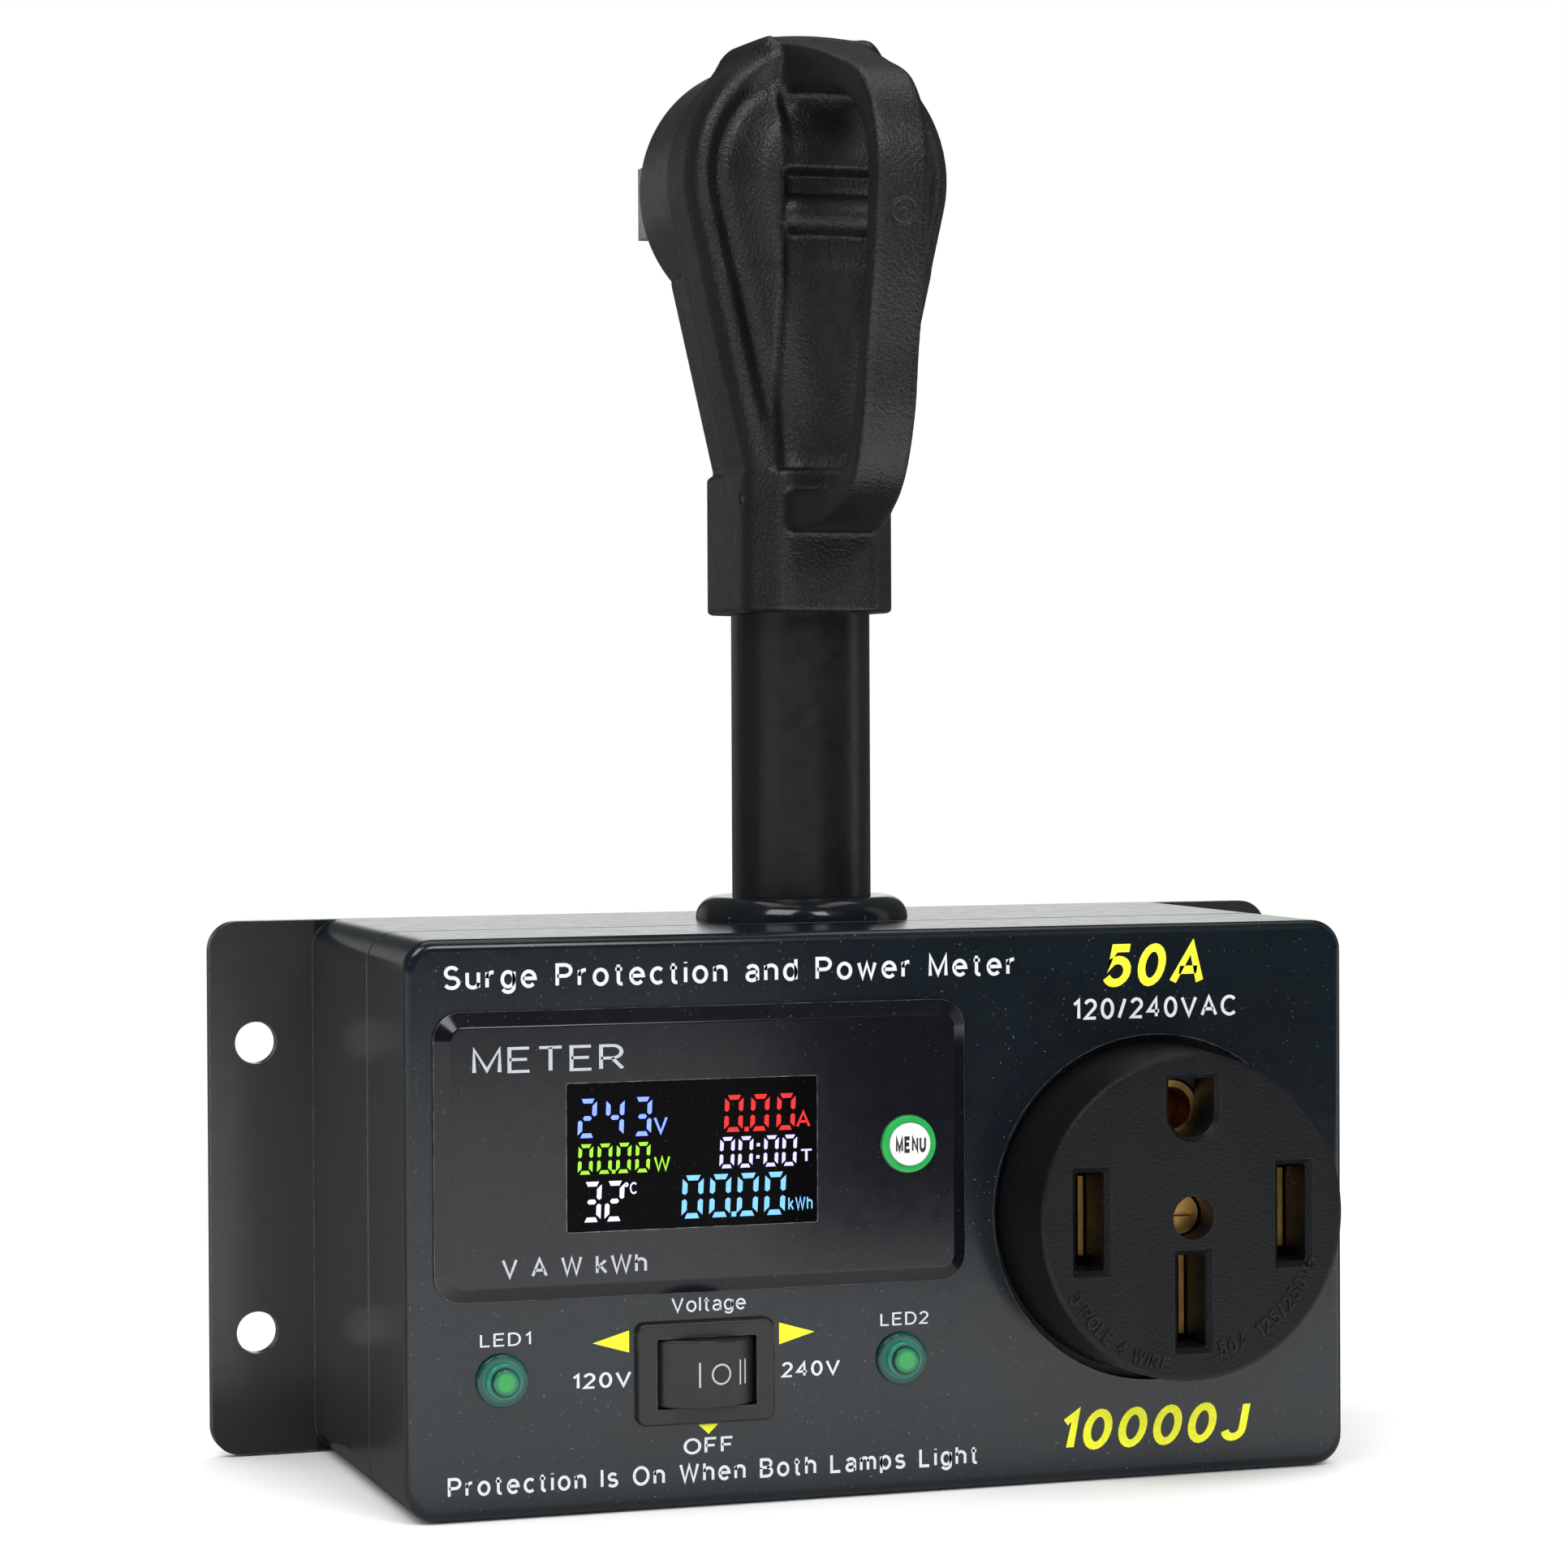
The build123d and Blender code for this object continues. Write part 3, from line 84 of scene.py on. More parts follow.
class Shading:
    """A Principled material under construction, with object coordinates ready to use."""

    def __init__(self, name):
        self.material = bpy.data.materials.new("look_" + name)
        self.material.use_nodes = True
        self.tree = self.material.node_tree
        self.shader = self.tree.nodes["Principled BSDF"]
        self.place = self.tree.nodes.new("ShaderNodeTexCoord").outputs["Object"]
        self.height = None

    def node(self, kind, **inputs):
        made = self.tree.nodes.new(kind)
        for name, value in inputs.items():
            self.plug(value, made.inputs[name])
        return made

    def plug(self, value, socket):
        if isinstance(value, bpy.types.NodeSocket):
            self.tree.links.new(value, socket)
        else:
            socket.default_value = value

    def set(self, **inputs):
        for name, value in inputs.items():
            self.plug(value, self.shader.inputs[name.replace("_", " ")])

    def noise(self, size_mm, detail=2.0, rough=0.5, stretch=(1, 1, 1)):
        """Noise between 0 and 1 whose blotches are about size_mm wide."""
        mapping = self.node("ShaderNodeMapping", Vector=self.place, Scale=stretch)
        made = self.node("ShaderNodeTexNoise", Vector=mapping.outputs[0])
        made.inputs["Scale"].default_value = 1 / (size_mm * MM)
        made.inputs["Detail"].default_value = detail
        made.inputs["Roughness"].default_value = rough
        return made.outputs["Fac"]

    def math(self, operation, a, b=0.0):
        made = self.tree.nodes.new("ShaderNodeMath")
        made.operation = operation
        self.plug(a, made.inputs[0])
        self.plug(b, made.inputs[1])
        return made.outputs[0]

    def length(self, a, b):
        """The hypotenuse of a and b."""
        squares = self.math("ADD", self.math("MULTIPLY", a, a), self.math("MULTIPLY", b, b))
        return self.math("SQRT", squares)

    def spread(self, value, low, high, start=0.3, stop=0.7):
        """Value from start..stop mapped to low..high."""
        made = self.node("ShaderNodeMapRange", Value=value)
        ends = {"From Min": start, "From Max": stop, "To Min": low, "To Max": high}
        for name, number in ends.items():
            made.inputs[name].default_value = number
        return made.outputs[0]

    def mix(self, factor, a, b):
        made = self.tree.nodes.new("ShaderNodeMix")
        made.data_type = "RGBA"
        self.plug(factor, made.inputs["Factor"])
        self.plug(a, made.inputs["A"])
        self.plug(b, made.inputs["B"])
        return made.outputs["Result"]

    def axis(self, letter):
        split = self.node("ShaderNodeSeparateXYZ", Vector=self.place)
        return split.outputs[letter]

    def blend(self, factor, shader_a, shader_b):
        """A mix of two shaders, all b where factor is 1."""
        made = self.node("ShaderNodeMixShader", Fac=factor)
        self.plug(shader_a, made.inputs[1])
        self.plug(shader_b, made.inputs[2])
        return made.outputs[0]

    def base_colour(self):
        """What feeds the base colour so far, to be built on."""
        return self.shader.inputs["Base Color"].links[0].from_socket

    def bump(self, height, depth_mm):
        """Adds a relief of depth_mm on top of any relief already there."""
        made = self.tree.nodes.new("ShaderNodeBump")
        made.inputs["Distance"].default_value = depth_mm * MM
        self.plug(height, made.inputs["Height"])
        if self.height is not None:
            self.plug(self.height, made.inputs["Normal"])
        self.height = made.outputs[0]
        self.set(Normal=self.height)


BEVEL_SAMPLES = 6
# Cosine of the turn between the true and the bevelled normal: a worn edge with painted highlight, and
# a flat face.
EDGE_COSINE = 0.80
FLAT_COSINE = 0.985


def worn_and_highlit_edges(s, reach_mm, tone, amount):
    """Turns a material's base colour paler along its sharp edges, in broken lines: partly wear, partly
    a painted highlight.
    """
    bevel = s.node("ShaderNodeBevel", Radius=reach_mm * MM)
    bevel.samples = BEVEL_SAMPLES
    surface = s.tree.nodes.new("ShaderNodeNewGeometry").outputs["Normal"]
    turn = s.node("ShaderNodeVectorMath")
    turn.operation = "DOT_PRODUCT"
    s.plug(bevel.outputs[0], turn.inputs[0])
    s.plug(surface, turn.inputs[1])
    edge = s.spread(turn.outputs["Value"], amount, 0, EDGE_COSINE, FLAT_COSINE)
    broken = s.spread(s.noise(2.2, detail=4, rough=0.7), 0.15, 1, 0.38, 0.62)
    s.set(Base_Color=s.mix(s.math("MULTIPLY", edge, broken), s.base_colour(), tone))
    return s


def shade(colour, factor):
    """The colour made lighter or darker, with full alpha."""
    return (*[min(1.0, c * factor) for c in colour], 1.0)


DUST_COLOUR = (0.4, 0.4, 0.39, 1)


def moulded(name, colour, rough, grain_mm=0.5, grain_depth=0.0, mottle=0.15, dust=0.0):
    """Moulded plastic of slowly varying colour and gloss, with grain and fine dust if asked."""
    s = Shading(name)
    slow = s.noise(14, detail=4)
    tone = s.mix(s.spread(slow, 0, 1), shade(colour, 1 - mottle), shade(colour, 1 + mottle))
    if dust:
        specks = s.spread(s.noise(0.45, detail=1), 0, dust, 0.74, 0.78)
        tone = s.mix(specks, tone, DUST_COLOUR)
    uneven = s.noise(3, detail=3)
    s.set(Base_Color=tone, Roughness=s.spread(uneven, rough * 0.88, rough * 1.12))
    if grain_depth:
        s.bump(s.noise(grain_mm, detail=2, rough=0.6), grain_depth)
    s.bump(s.noise(5, detail=2), 0.01)
    return s


def metal(name, colour, rough, streak=(1, 1, 0.08), tarnish=0.35):
    """Drawn or plated metal with fine streaks and patchy tarnish."""
    s = Shading(name)
    streaks = s.noise(0.6, detail=3, stretch=streak)
    patches = s.spread(s.noise(2.5, detail=4), 0, 1)
    s.set(Base_Color=s.mix(patches, shade(colour, 1 - tarnish), shade(colour, 1)), Metallic=1.0)
    s.set(Roughness=s.spread(streaks, rough * 0.8, rough * 1.4))
    s.bump(streaks, 0.01)
    return s


def glowing(name, colour, strength):
    """A lit display segment: its light is slightly uneven across the segment."""
    s = Shading(name)
    s.set(Base_Color=shade(colour, 0.2), Roughness=0.5, Emission_Color=shade(colour, 1))
    s.set(Emission_Strength=s.spread(s.noise(0.6), strength * 0.85, strength * 1.1))
    return s


def printed(name, colour):
    """Silk-screen ink: a thin matt film with slightly patchy cover."""
    s = Shading(name)
    cover = s.spread(s.noise(0.7, detail=3), 0, 1)
    s.set(Base_Color=s.mix(cover, shade(colour, 0.86), shade(colour, 1.0)), Roughness=0.55)
    s.bump(s.noise(0.25), 0.01)
    return s


VINYL = (0.0055, 0.0060, 0.0066)
PARTING_LINE_MM = 0.11
MOULD_MARK_R = 2.0
MOULD_MARK_Z = 162.0
# The handle's outer strap lies in front of this plane.
STRAP_Y = -69.5
GROOVE_MM = 0.12


def overmould_vinyl():
    """Grained black vinyl, with a parting line along its middle and a mould mark on the handle."""
    s = moulded("plug_vinyl", VINYL, 0.36, grain_mm=0.55, grain_depth=0.20, mottle=0.2)
    across = s.math("ABSOLUTE", s.axis("X"))
    line = s.spread(across, 1, 0, PARTING_LINE_MM * MM * 0.5, PARTING_LINE_MM * MM)
    strap = s.spread(s.axis("Y"), 1, 0, (STRAP_Y - 0.5) * MM, (STRAP_Y + 0.5) * MM)
    not_strap = s.math("SUBTRACT", 1.0, strap)
    s.bump(s.math("MULTIPLY", s.math("MULTIPLY", line, not_strap), -1.0), GROOVE_MM)
    reach = s.length(across, s.math("SUBTRACT", s.axis("Z"), MOULD_MARK_Z * MM))
    off_ring = s.math("ABSOLUTE", s.math("SUBTRACT", reach, MOULD_MARK_R * MM))
    ring_line = s.spread(off_ring, 1, 0, 0.10 * MM, 0.35 * MM)
    pip = s.spread(reach, 1, 0, 0.4 * MM, 0.7 * MM)
    mark = s.math("MULTIPLY", s.math("MAXIMUM", ring_line, pip), strap)
    s.bump(s.math("MULTIPLY", mark, -1.0), GROOVE_MM)
    return s


def pane_plastic():
    """Smoked display window: almost black and glossy, with faint dust."""
    s = moulded("window_plastic", (0.002, 0.002, 0.0024), 0.07, mottle=0.1, dust=0.05)
    s.set(Specular_IOR_Level=0.03)
    return s


LENS_CENTRE = (0.02, 0.27, 0.06, 1)
# Start and end in millimetres of the change to the next tone, outwards from the lens's middle.
# The darker rings are painted shade and the pale teal ring a painted highlight, for the light on the
# lens's stepped rings.
LENS_SHADE_AND_HIGHLIGHT_RINGS = [
    (1.2, 1.6, (0.012, 0.15, 0.07, 1)),
    (1.9, 2.2, (0.004, 0.05, 0.035, 1)),
    (2.3, 2.7, (0.02, 0.19, 0.13, 1)),
    (3.1, 3.5, (0.006, 0.06, 0.05, 1)),
]


def lens_plastic():
    """Green lamp lenses: a lit centre, then rings of painted shade and painted highlight out to the
    foot.
    """
    s = moulded("lamp_plastic", LENS_CENTRE[:3], 0.10, mottle=0.1)
    first, second = middle("lamp_lens_1"), middle("lamp_lens_2")
    half_way = (first[0] + second[0]) / 2
    from_switch = s.math("ABSOLUTE", s.math("SUBTRACT", s.axis("X"), half_way * MM))
    dx = s.math("SUBTRACT", from_switch, (second[0] - first[0]) / 2 * MM)
    dz = s.math("SUBTRACT", s.axis("Z"), first[2] * MM)
    radius = s.length(dx, dz)
    tone = LENS_CENTRE
    for start, stop, colour in LENS_SHADE_AND_HIGHLIGHT_RINGS:
        tone = s.mix(s.spread(radius, 0, 1, start * MM, stop * MM), tone, colour)
    s.set(Base_Color=tone, Transmission_Weight=0.15, IOR=1.49, Emission_Color=tone)
    s.set(Emission_Strength=s.spread(radius, 0.15, 0.02, 1.2 * MM, 2.0 * MM))
    return s


def glowing_epoxy():
    """The lit bodies of the lamps' LEDs."""
    s = moulded("led_epoxy", (0.08, 0.7, 0.25), 0.2, mottle=0.05)
    s.set(Emission_Color=(0.08, 0.9, 0.25, 1), Emission_Strength=0.9)
    return s


def circuit_board():
    """Green solder mask with the faint pattern of tracks below it."""
    s = moulded("circuit_board", (0.01, 0.09, 0.035), 0.3)
    tracks = s.node("ShaderNodeTexVoronoi", Vector=s.place, Scale=400.0)
    tracks.distance = "MANHATTAN"
    s.bump(tracks.outputs["Distance"], 0.03)
    return s


def insulation(name, colour):
    """Extruded wire insulation with faint draw lines along it."""
    s = moulded(name, colour, 0.35, mottle=0.08)
    s.bump(s.noise(0.4, stretch=(1, 1, 0.03)), 0.015)
    return s


def cord_rubber():
    """The cord's smooth satin jacket, with faint draw lines."""
    s = moulded("cord_rubber", (0.0062, 0.006, 0.006), 0.30, mottle=0.15)
    s.bump(s.noise(1.2, detail=3, stretch=(1, 1, 0.02)), 0.02)
    s.bump(s.noise(9, detail=2), 0.06)
    return s


def box_plastic():
    """Satin black with a blue cast; the sides and flanges are painted greyer, a painted sheen standing
    in for the light they catch.
    """
    s = moulded("box_plastic", (0.0050, 0.0085, 0.0112), 0.17, mottle=0.12, dust=0.25)
    half = box("front_cover")[1][0]
    back = box("rear_base")[1][1]
    outside = s.spread(s.math("ABSOLUTE", s.axis("X")), 0, 1, (half - 0.6) * MM, (half - 0.1) * MM)
    behind = s.spread(s.axis("Y"), 0, 1, (back - 0.2) * MM, (back - 0.1) * MM)
    painted_light_faces = s.math("MAXIMUM", outside, behind)
    # Painted light: the sides and flanges get a paler grey base colour in place of the light they
    # catch.
    s.set(Base_Color=s.mix(painted_light_faces, s.base_colour(), (0.021, 0.021, 0.021, 1)))
    # Pale edges: partly wear, partly a painted highlight along the fillets.
    return worn_and_highlit_edges(s, 0.35, (0.22, 0.24, 0.25, 1), 0.55)


def socket_plastic():
    """Grained near-black plastic, slightly paler along its edges: partly rubbed, partly a painted
    highlight.
    """
    s = moulded("socket_plastic", (0.0055, 0.006, 0.007), 0.36, 0.45, 0.12)
    s.set(Specular_IOR_Level=0.2)
    return worn_and_highlit_edges(s, 0.3, (0.06, 0.062, 0.066, 1), 0.6)


def slot_materials():
    """One procedural material for each of the record's material slots."""
    made = {
        "box_plastic": box_plastic(),
        "gasket_rubber": moulded("gasket_rubber", (0.006, 0.006, 0.006), 0.6, 0.3, 0.02),
        "zinc_steel": metal("zinc_steel", (0.62, 0.63, 0.64), 0.3),
        # Pale bezel edges: partly wear, partly a painted highlight.
        "bezel_plastic": worn_and_highlit_edges(
            moulded("bezel_plastic", (0.0045, 0.005, 0.0075), 0.15, mottle=0.1, dust=0.2),
            0.3, (0.35, 0.37, 0.38, 1), 0.7,
        ),
        "window_plastic": pane_plastic(),
        "display_plastic": moulded("display_plastic", (0.01, 0.01, 0.012), 0.3),
        "circuit_board": circuit_board(),
        "inner_plastic": moulded("inner_plastic", (0.012, 0.012, 0.013), 0.45, 0.4, 0.02),
        "terminal_plastic": moulded("terminal_plastic", (0.015, 0.12, 0.05), 0.4, 0.4, 0.02),
        "green_plastic": moulded("green_plastic", (0.010, 0.33, 0.060), 0.22, mottle=0.06),
        "white_plastic": moulded("white_plastic", (0.72, 0.75, 0.74), 0.25, mottle=0.04),
        # Pale switch edges: partly wear, partly a painted highlight.
        "switch_plastic": worn_and_highlit_edges(
            moulded("switch_plastic", (0.0115, 0.0115, 0.0125), 0.36, 0.3, 0.012),
            0.25, (0.25, 0.25, 0.25, 1), 0.45,
        ),
        "brass": metal("brass", (0.86, 0.52, 0.15), 0.34),
        "nickel": metal("nickel", (0.72, 0.69, 0.62), 0.2),
        "lamp_plastic": lens_plastic(),
        "led_epoxy": glowing_epoxy(),
        "socket_plastic": socket_plastic(),
        "varistor_coat": moulded("varistor_coat", (0.03, 0.12, 0.42), 0.3, 0.6, 0.02),
        "fuse_ceramic": moulded("fuse_ceramic", (0.62, 0.58, 0.5), 0.4, 0.3, 0.02),
        "transformer_plastic": moulded("transformer_plastic", (0.02, 0.05, 0.2), 0.35, 0.4, 0.02),
        "gland_nylon": moulded("gland_nylon", (0.006, 0.0075, 0.009), 0.13, mottle=0.12, dust=0.2),
        "cord_rubber": cord_rubber(),
        "wire_black": insulation("wire_black", (0.012, 0.012, 0.012)),
        "wire_red": insulation("wire_red", (0.45, 0.02, 0.015)),
        "wire_white": insulation("wire_white", (0.7, 0.7, 0.68)),
        "wire_green": insulation("wire_green", (0.015, 0.25, 0.05)),
        "plug_vinyl": overmould_vinyl(),
        "plug_nylon": moulded("plug_nylon", (0.0115, 0.012, 0.0125), 0.30, 0.35, 0.008),
    }
    return {name: shading.material for name, shading in made.items()}


looks = slot_materials()
for node in nodes.values():
    for slot in node.material_slots:
        slot.material = looks[slot.material.name.split(".")[0]]

ink_white = printed("print_white", (0.62, 0.66, 0.69)).material
ink_grey = printed("print_grey", (0.42, 0.46, 0.49)).material
ink_yellow = printed("print_yellow", (0.90, 0.92, 0.012)).material
ink_black = printed("print_black", (0.01, 0.01, 0.01)).material


# ---- plug overmould

GRID_MM = 0.5
BAND_CELLS = 3.0
HEAD_R = 23.6
NECK_FOOT_R = 12.3
NECK_FOOT_Z = 121.5
SHELL_BACK_Y = -26.0
NECK_BACK_Y = -12.0
# The collar's half widths, at its front flat and its sides, its front and back, and its chamfers.
COLLAR_HALF = (8.3, 13.5)
COLLAR_Y = (-44.0, -10.0)
COLLAR_CHAMFERS = (6.5, 5.0)
STRAP_HALF = 4.7
STRAP_EDGE_R = 1.3
# The rung across the recess behind the handle: its middle, radius and half length.
RUNG_YZ = (-43.6, 165.5)
RUNG_R = 3.2
RUNG_HALF = 6.2
BORE_R = 12.12
BORE_TOP_Z = 116.0
# Small round dimples on the collar's left side.
DIMPLE_R = 0.75
DIMPLE_XZ = (-13.0, 117.8)
DIMPLE_YS = (-36.0, -16.5)


def smooth_min(a, b, k):
    """The lesser of two distances, with a fillet about k wide where they meet."""
    h = np.clip(0.5 + 0.5 * (b - a) / k, 0, 1)
    return b * (1 - h) + a * h - k * h * (1 - h)


def smooth_max(a, b, k):
    """The greater of two distances, rounded over about k where they meet."""
    return -smooth_min(-a, -b, k)


def ease(value, start, stop):
    """A smooth rise from 0 at start to 1 at stop."""
    t = np.clip((value - start) / (stop - start), 0, 1)
    return t * t * (3 - 2 * t)


def spline(points, samples=8):
    """Catmull-Rom curve through rows of numbers, each row a point with its other values."""
    p = np.array(points, float)
    p = np.vstack([2 * p[0] - p[1], p, 2 * p[-1] - p[-2]])
    t = np.linspace(0, 1, samples, endpoint=False)[:, None]
    rows = []
    for a, b, c, d in zip(p, p[1:], p[2:], p[3:]):
        square = (2 * a - 5 * b + 4 * c - d) * t**2
        cube = (3 * b - a - 3 * c + d) * t**3
        rows.append(0.5 * (2 * b + (c - a) * t + square + cube))
    return np.vstack(rows + [p[-2:-1]])


def teardrop(x, z, head_z):
    """Signed distance to the overmould's outline: a circle with tangent lines down to the collar."""
    length = head_z - NECK_FOOT_Z
    lean = (HEAD_R - NECK_FOOT_R) / length
    level = math.sqrt(1 - lean**2)
    px = np.abs(x)
    pz = head_z - z
    side = -lean * px + level * pz
    round_head = np.hypot(px, pz) - HEAD_R
    round_foot = np.hypot(px, pz - length) - NECK_FOOT_R
    straight = level * px + lean * pz - HEAD_R
    return np.where(side < 0, round_head, np.where(side > level * length, round_foot, straight))


# How far the front stands out of the shell's back plane, against the distance in from the outline.
FRONT_PROFILE = [
    (0.0, 11.9), (1.0, 13.9), (2.6, 14.9), (4.0, 14.2), (5.2, 13.6),
    (6.8, 14.3), (9.0, 16.1), (12.0, 17.7), (16.0, 18.5), (24.0, 18.9),
]
# The same for the neck, which has no groove.
NECK_PROFILE = [(0.0, 12.6), (2.5, 15.2), (8.0, 17.4), (24.0, 18.6)]
SHOULDER_RISE = 2.4
RECESS_DEPTH = 3.6
RECESS_HALF = 8.2
BOSS_RISE = 2.8


def front_height(x, z, inset, head_z):
    """Bead along the rim, groove inside it, bulge, and the recess and boss behind the handle."""
    curve = spline(FRONT_PROFILE, 6)
    height = np.interp(inset, curve[:, 0], curve[:, 1])
    calm = ease(z, 140, 120)
    plain = np.interp(inset, *zip(*NECK_PROFILE))
    height = height * (1 - calm) + plain * calm
    shoulder = SHOULDER_RISE * ease(inset, 6, 12) * ease(z, 126, 158)
    in_recess = ease(np.abs(x), RECESS_HALF + 1.2, RECESS_HALF - 1.2) * ease(z, 119, 126)
    recess = (0.45 + 0.55 * ease(z, 126, 160)) * RECESS_DEPTH
    boss = BOSS_RISE * ease(z, 171.8, 173.4) * ease(z, 184, 175)
    return height + shoulder - in_recess * (recess - boss)


# Middle line of the handle in the YZ plane: y, z, thickness, half width.
HANDLE_LINE = [
    (-27, 190.5, 9.0, 12.0),
    (-38, 190.8, 8.8, 9.2),
    (-47, 189.9, 7.4, 6.4),
    (-61, 186.7, 5.6, 4.9),
    (-72.3, 182.0, 5.8, STRAP_HALF),
    (-78.4, 172.3, 5.5, STRAP_HALF),
    (-77.6, 157, 5.1, STRAP_HALF),
    (-73.8, 141.5, 4.9, STRAP_HALF),
    (-71.5, 130.5, 5.3, STRAP_HALF),
    (-66.8, 121.3, 5.8, STRAP_HALF),
    (-58.2, 116.3, 5.4, 5.6),
    (-49, 115.4, 6.4, 7.6),
    (-36, 116.0, 7.4, 8.3),
]


def handle_field(y, z):
    """Distance to the handle's middle line less half its thickness, and its half width, over YZ."""
    line = spline(HANDLE_LINE, 8)
    best = np.full(y.shape, 1e6)
    half_width = np.full(y.shape, STRAP_HALF)
    for (ay, az, at, aw), (by, bz, bt, bw) in zip(line, line[1:]):
        dy, dz = by - ay, bz - az
        t = np.clip(((y - ay) * dy + (z - az) * dz) / (dy * dy + dz * dz), 0, 1)
        away = np.hypot(y - ay - t * dy, z - az - t * dz) - (at + t * (bt - at)) / 2
        nearer = away < best
        best = np.where(nearer, away, best)
        half_width = np.where(nearer, aw + t * (bw - aw), half_width)
    return best, half_width


def rounded_pair(a, b, radius):
    """The solid inside both a and b, with a rounded edge where they meet."""
    a = a + radius
    b = b + radius
    return np.hypot(np.maximum(a, 0), np.maximum(b, 0)) + np.minimum(np.maximum(a, b), 0) - radius


def collar_field(x, y, z, low_z, high_z):
    """The octagonal cable collar."""
    px = np.abs(x)
    flat, wide = COLLAR_HALF
    front_y, back_y = COLLAR_Y
    sides = smooth_max(px - wide, np.maximum(front_y - y, y - back_y), 0.5)
    for inward, chamfer in ((y - front_y, COLLAR_CHAMFERS[0]), (back_y - y, COLLAR_CHAMFERS[1])):
        slant = np.hypot(chamfer, wide - flat)
        sloped = ((px - flat) * chamfer - inward * (wide - flat)) / slant
        sides = smooth_max(sides, sloped, 1.6)
    return rounded_pair(sides, np.maximum(z - high_z, low_z - z), 0.7)


def overmould_field(x, y, z):
    """Signed distance, in millimetres, to the one-piece overmould."""
    low, high = box("plug_body")
    face_low, face_high = box("plug_insert")
    head_z = (face_low[2] + face_high[2]) / 2
    disc_r = (face_high[0] - face_low[0]) / 2
    cord = middle("cord_jacket")

    outline = teardrop(x, z, head_z)
    front = front_height(x, z, np.maximum(-outline, 0), head_z)
    forward = (SHELL_BACK_Y - front - y) * 0.8
    shell = smooth_max(outline + 0 * y, forward, 1.8)
    head = smooth_max(shell, y - SHELL_BACK_Y, 0.4)

    narrowing = 0.07 * np.maximum(y - SHELL_BACK_Y, 0)
    neck = smooth_max(outline + narrowing, forward, 1.8)
    neck = smooth_max(neck, y - NECK_BACK_Y, 5.0)
    neck = smooth_max(neck, z - 157.0, 1.0)
    behind_disc = np.maximum(np.hypot(x, z - head_z) - disc_r - 0.1, SHELL_BACK_Y + 0.2 - y)
    neck = smooth_max(neck, -behind_disc, 0.6)
    body = smooth_min(head, neck, 0.8)

    rung_y, rung_z = RUNG_YZ
    beyond = np.maximum(np.abs(x) - RUNG_HALF, 0)
    rung = np.hypot(beyond, np.hypot((y - rung_y) * 0.9, z - rung_z)) - RUNG_R
    body = smooth_min(body, rung, 1.0)

    collar = collar_field(x, y, z, low[2], NECK_FOOT_Z + 1.0)
    body = smooth_min(body, collar, 0.7)

    away, half_width = handle_field(y[0], z[0])
    strap = rounded_pair(away[None] + 0 * x, np.abs(x) - half_width[None], STRAP_EDGE_R)
    root = ease(y, -52, -40)
    body = smooth_min(body, strap, 1.0 + 5.0 * root * ease(z, 150, 180))

    bore = np.maximum(np.hypot(x - cord[0], y - cord[1]) - BORE_R, z - BORE_TOP_Z)
    body = np.maximum(body, -bore)
    dimple_x, dimple_z = DIMPLE_XZ
    for dimple_y in DIMPLE_YS:
        dimple = np.sqrt((x - dimple_x) ** 2 + (y - dimple_y) ** 2 + (z - dimple_z) ** 2) - DIMPLE_R
        body = smooth_max(body, -dimple, 0.2)
    return body


def mesh_piece(name, points_mm, faces, material, smooth=True):
    """A new object in the scene from points in millimetres."""
    mesh = bpy.data.meshes.new(name)
    mesh.from_pydata([tuple(p) for p in np.asarray(points_mm) * MM], [], [tuple(f) for f in faces])
    mesh.materials.append(material)
    if smooth:
        mesh.shade_smooth()
    piece = bpy.data.objects.new(name, mesh)
    bpy.context.scene.collection.objects.link(piece)
    return piece


def surface_of(field, low, high, step):
    """Quad mesh of a signed distance field's zero surface."""
    counts = np.ceil((high - low) / step).astype(int) + 1
    axes = [low[i] + step * np.arange(counts[i]) for i in range(3)]
    x, y, z = np.meshgrid(*axes, indexing="ij")
    values = np.clip(field(x, y, z) / step, -BAND_CELLS, BAND_CELLS)
    grid = openvdb.FloatGrid(background=BAND_CELLS)
    grid.copyFromArray(np.ascontiguousarray(values, dtype=np.float32))
    points, quads = grid.convertToQuads(0.0)
    return np.asarray(points) * step + low, np.asarray(quads)


def plug_overmould():
    """The plug's head, neck, collar and handle in one moulding."""
    low, high = box("plug_body")
    margin = BAND_CELLS * GRID_MM
    points, quads = surface_of(overmould_field, low - margin, high + margin, GRID_MM)
    piece = mesh_piece("plug_overmould", points, quads, looks["plug_vinyl"])
    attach(piece, "plug")
    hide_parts("plug_body")


plug_overmould()


# ---- cord and its wires

RING_MM = 1.5
# The rings go on this far inside the gland and the collar.
RING_OVERLAP = 8
SHARP_EDGE_DEG = 40


def flexible(node, slot_name):
    """A copy of a cord part, cut into rings along its length."""
    mesh = nodes[node].data.copy()
    shape = bmesh.new()
    shape.from_mesh(mesh)
    bmesh.ops.remove_doubles(shape, verts=shape.verts, dist=0.001 * MM)
    gland_top = box("gland_dome")[1][2]
    collar_low = box("plug_body")[0][2]
    for height in np.arange(gland_top - RING_OVERLAP, collar_low + RING_OVERLAP, RING_MM):
        parts = shape.verts[:] + shape.edges[:] + shape.faces[:]
        bmesh.ops.bisect_plane(shape, geom=parts, plane_co=(0, 0, height * MM), plane_no=(0, 0, 1))
    shape.to_mesh(mesh)
    shape.free()
    mesh.materials.clear()
    mesh.materials.append(looks[slot_name])
    mesh.set_sharp_from_angle(angle=math.radians(SHARP_EDGE_DEG))
    piece = bpy.data.objects.new("flex_" + node, mesh)
    bpy.context.scene.collection.objects.link(piece)
    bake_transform(piece)
    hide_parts(node)


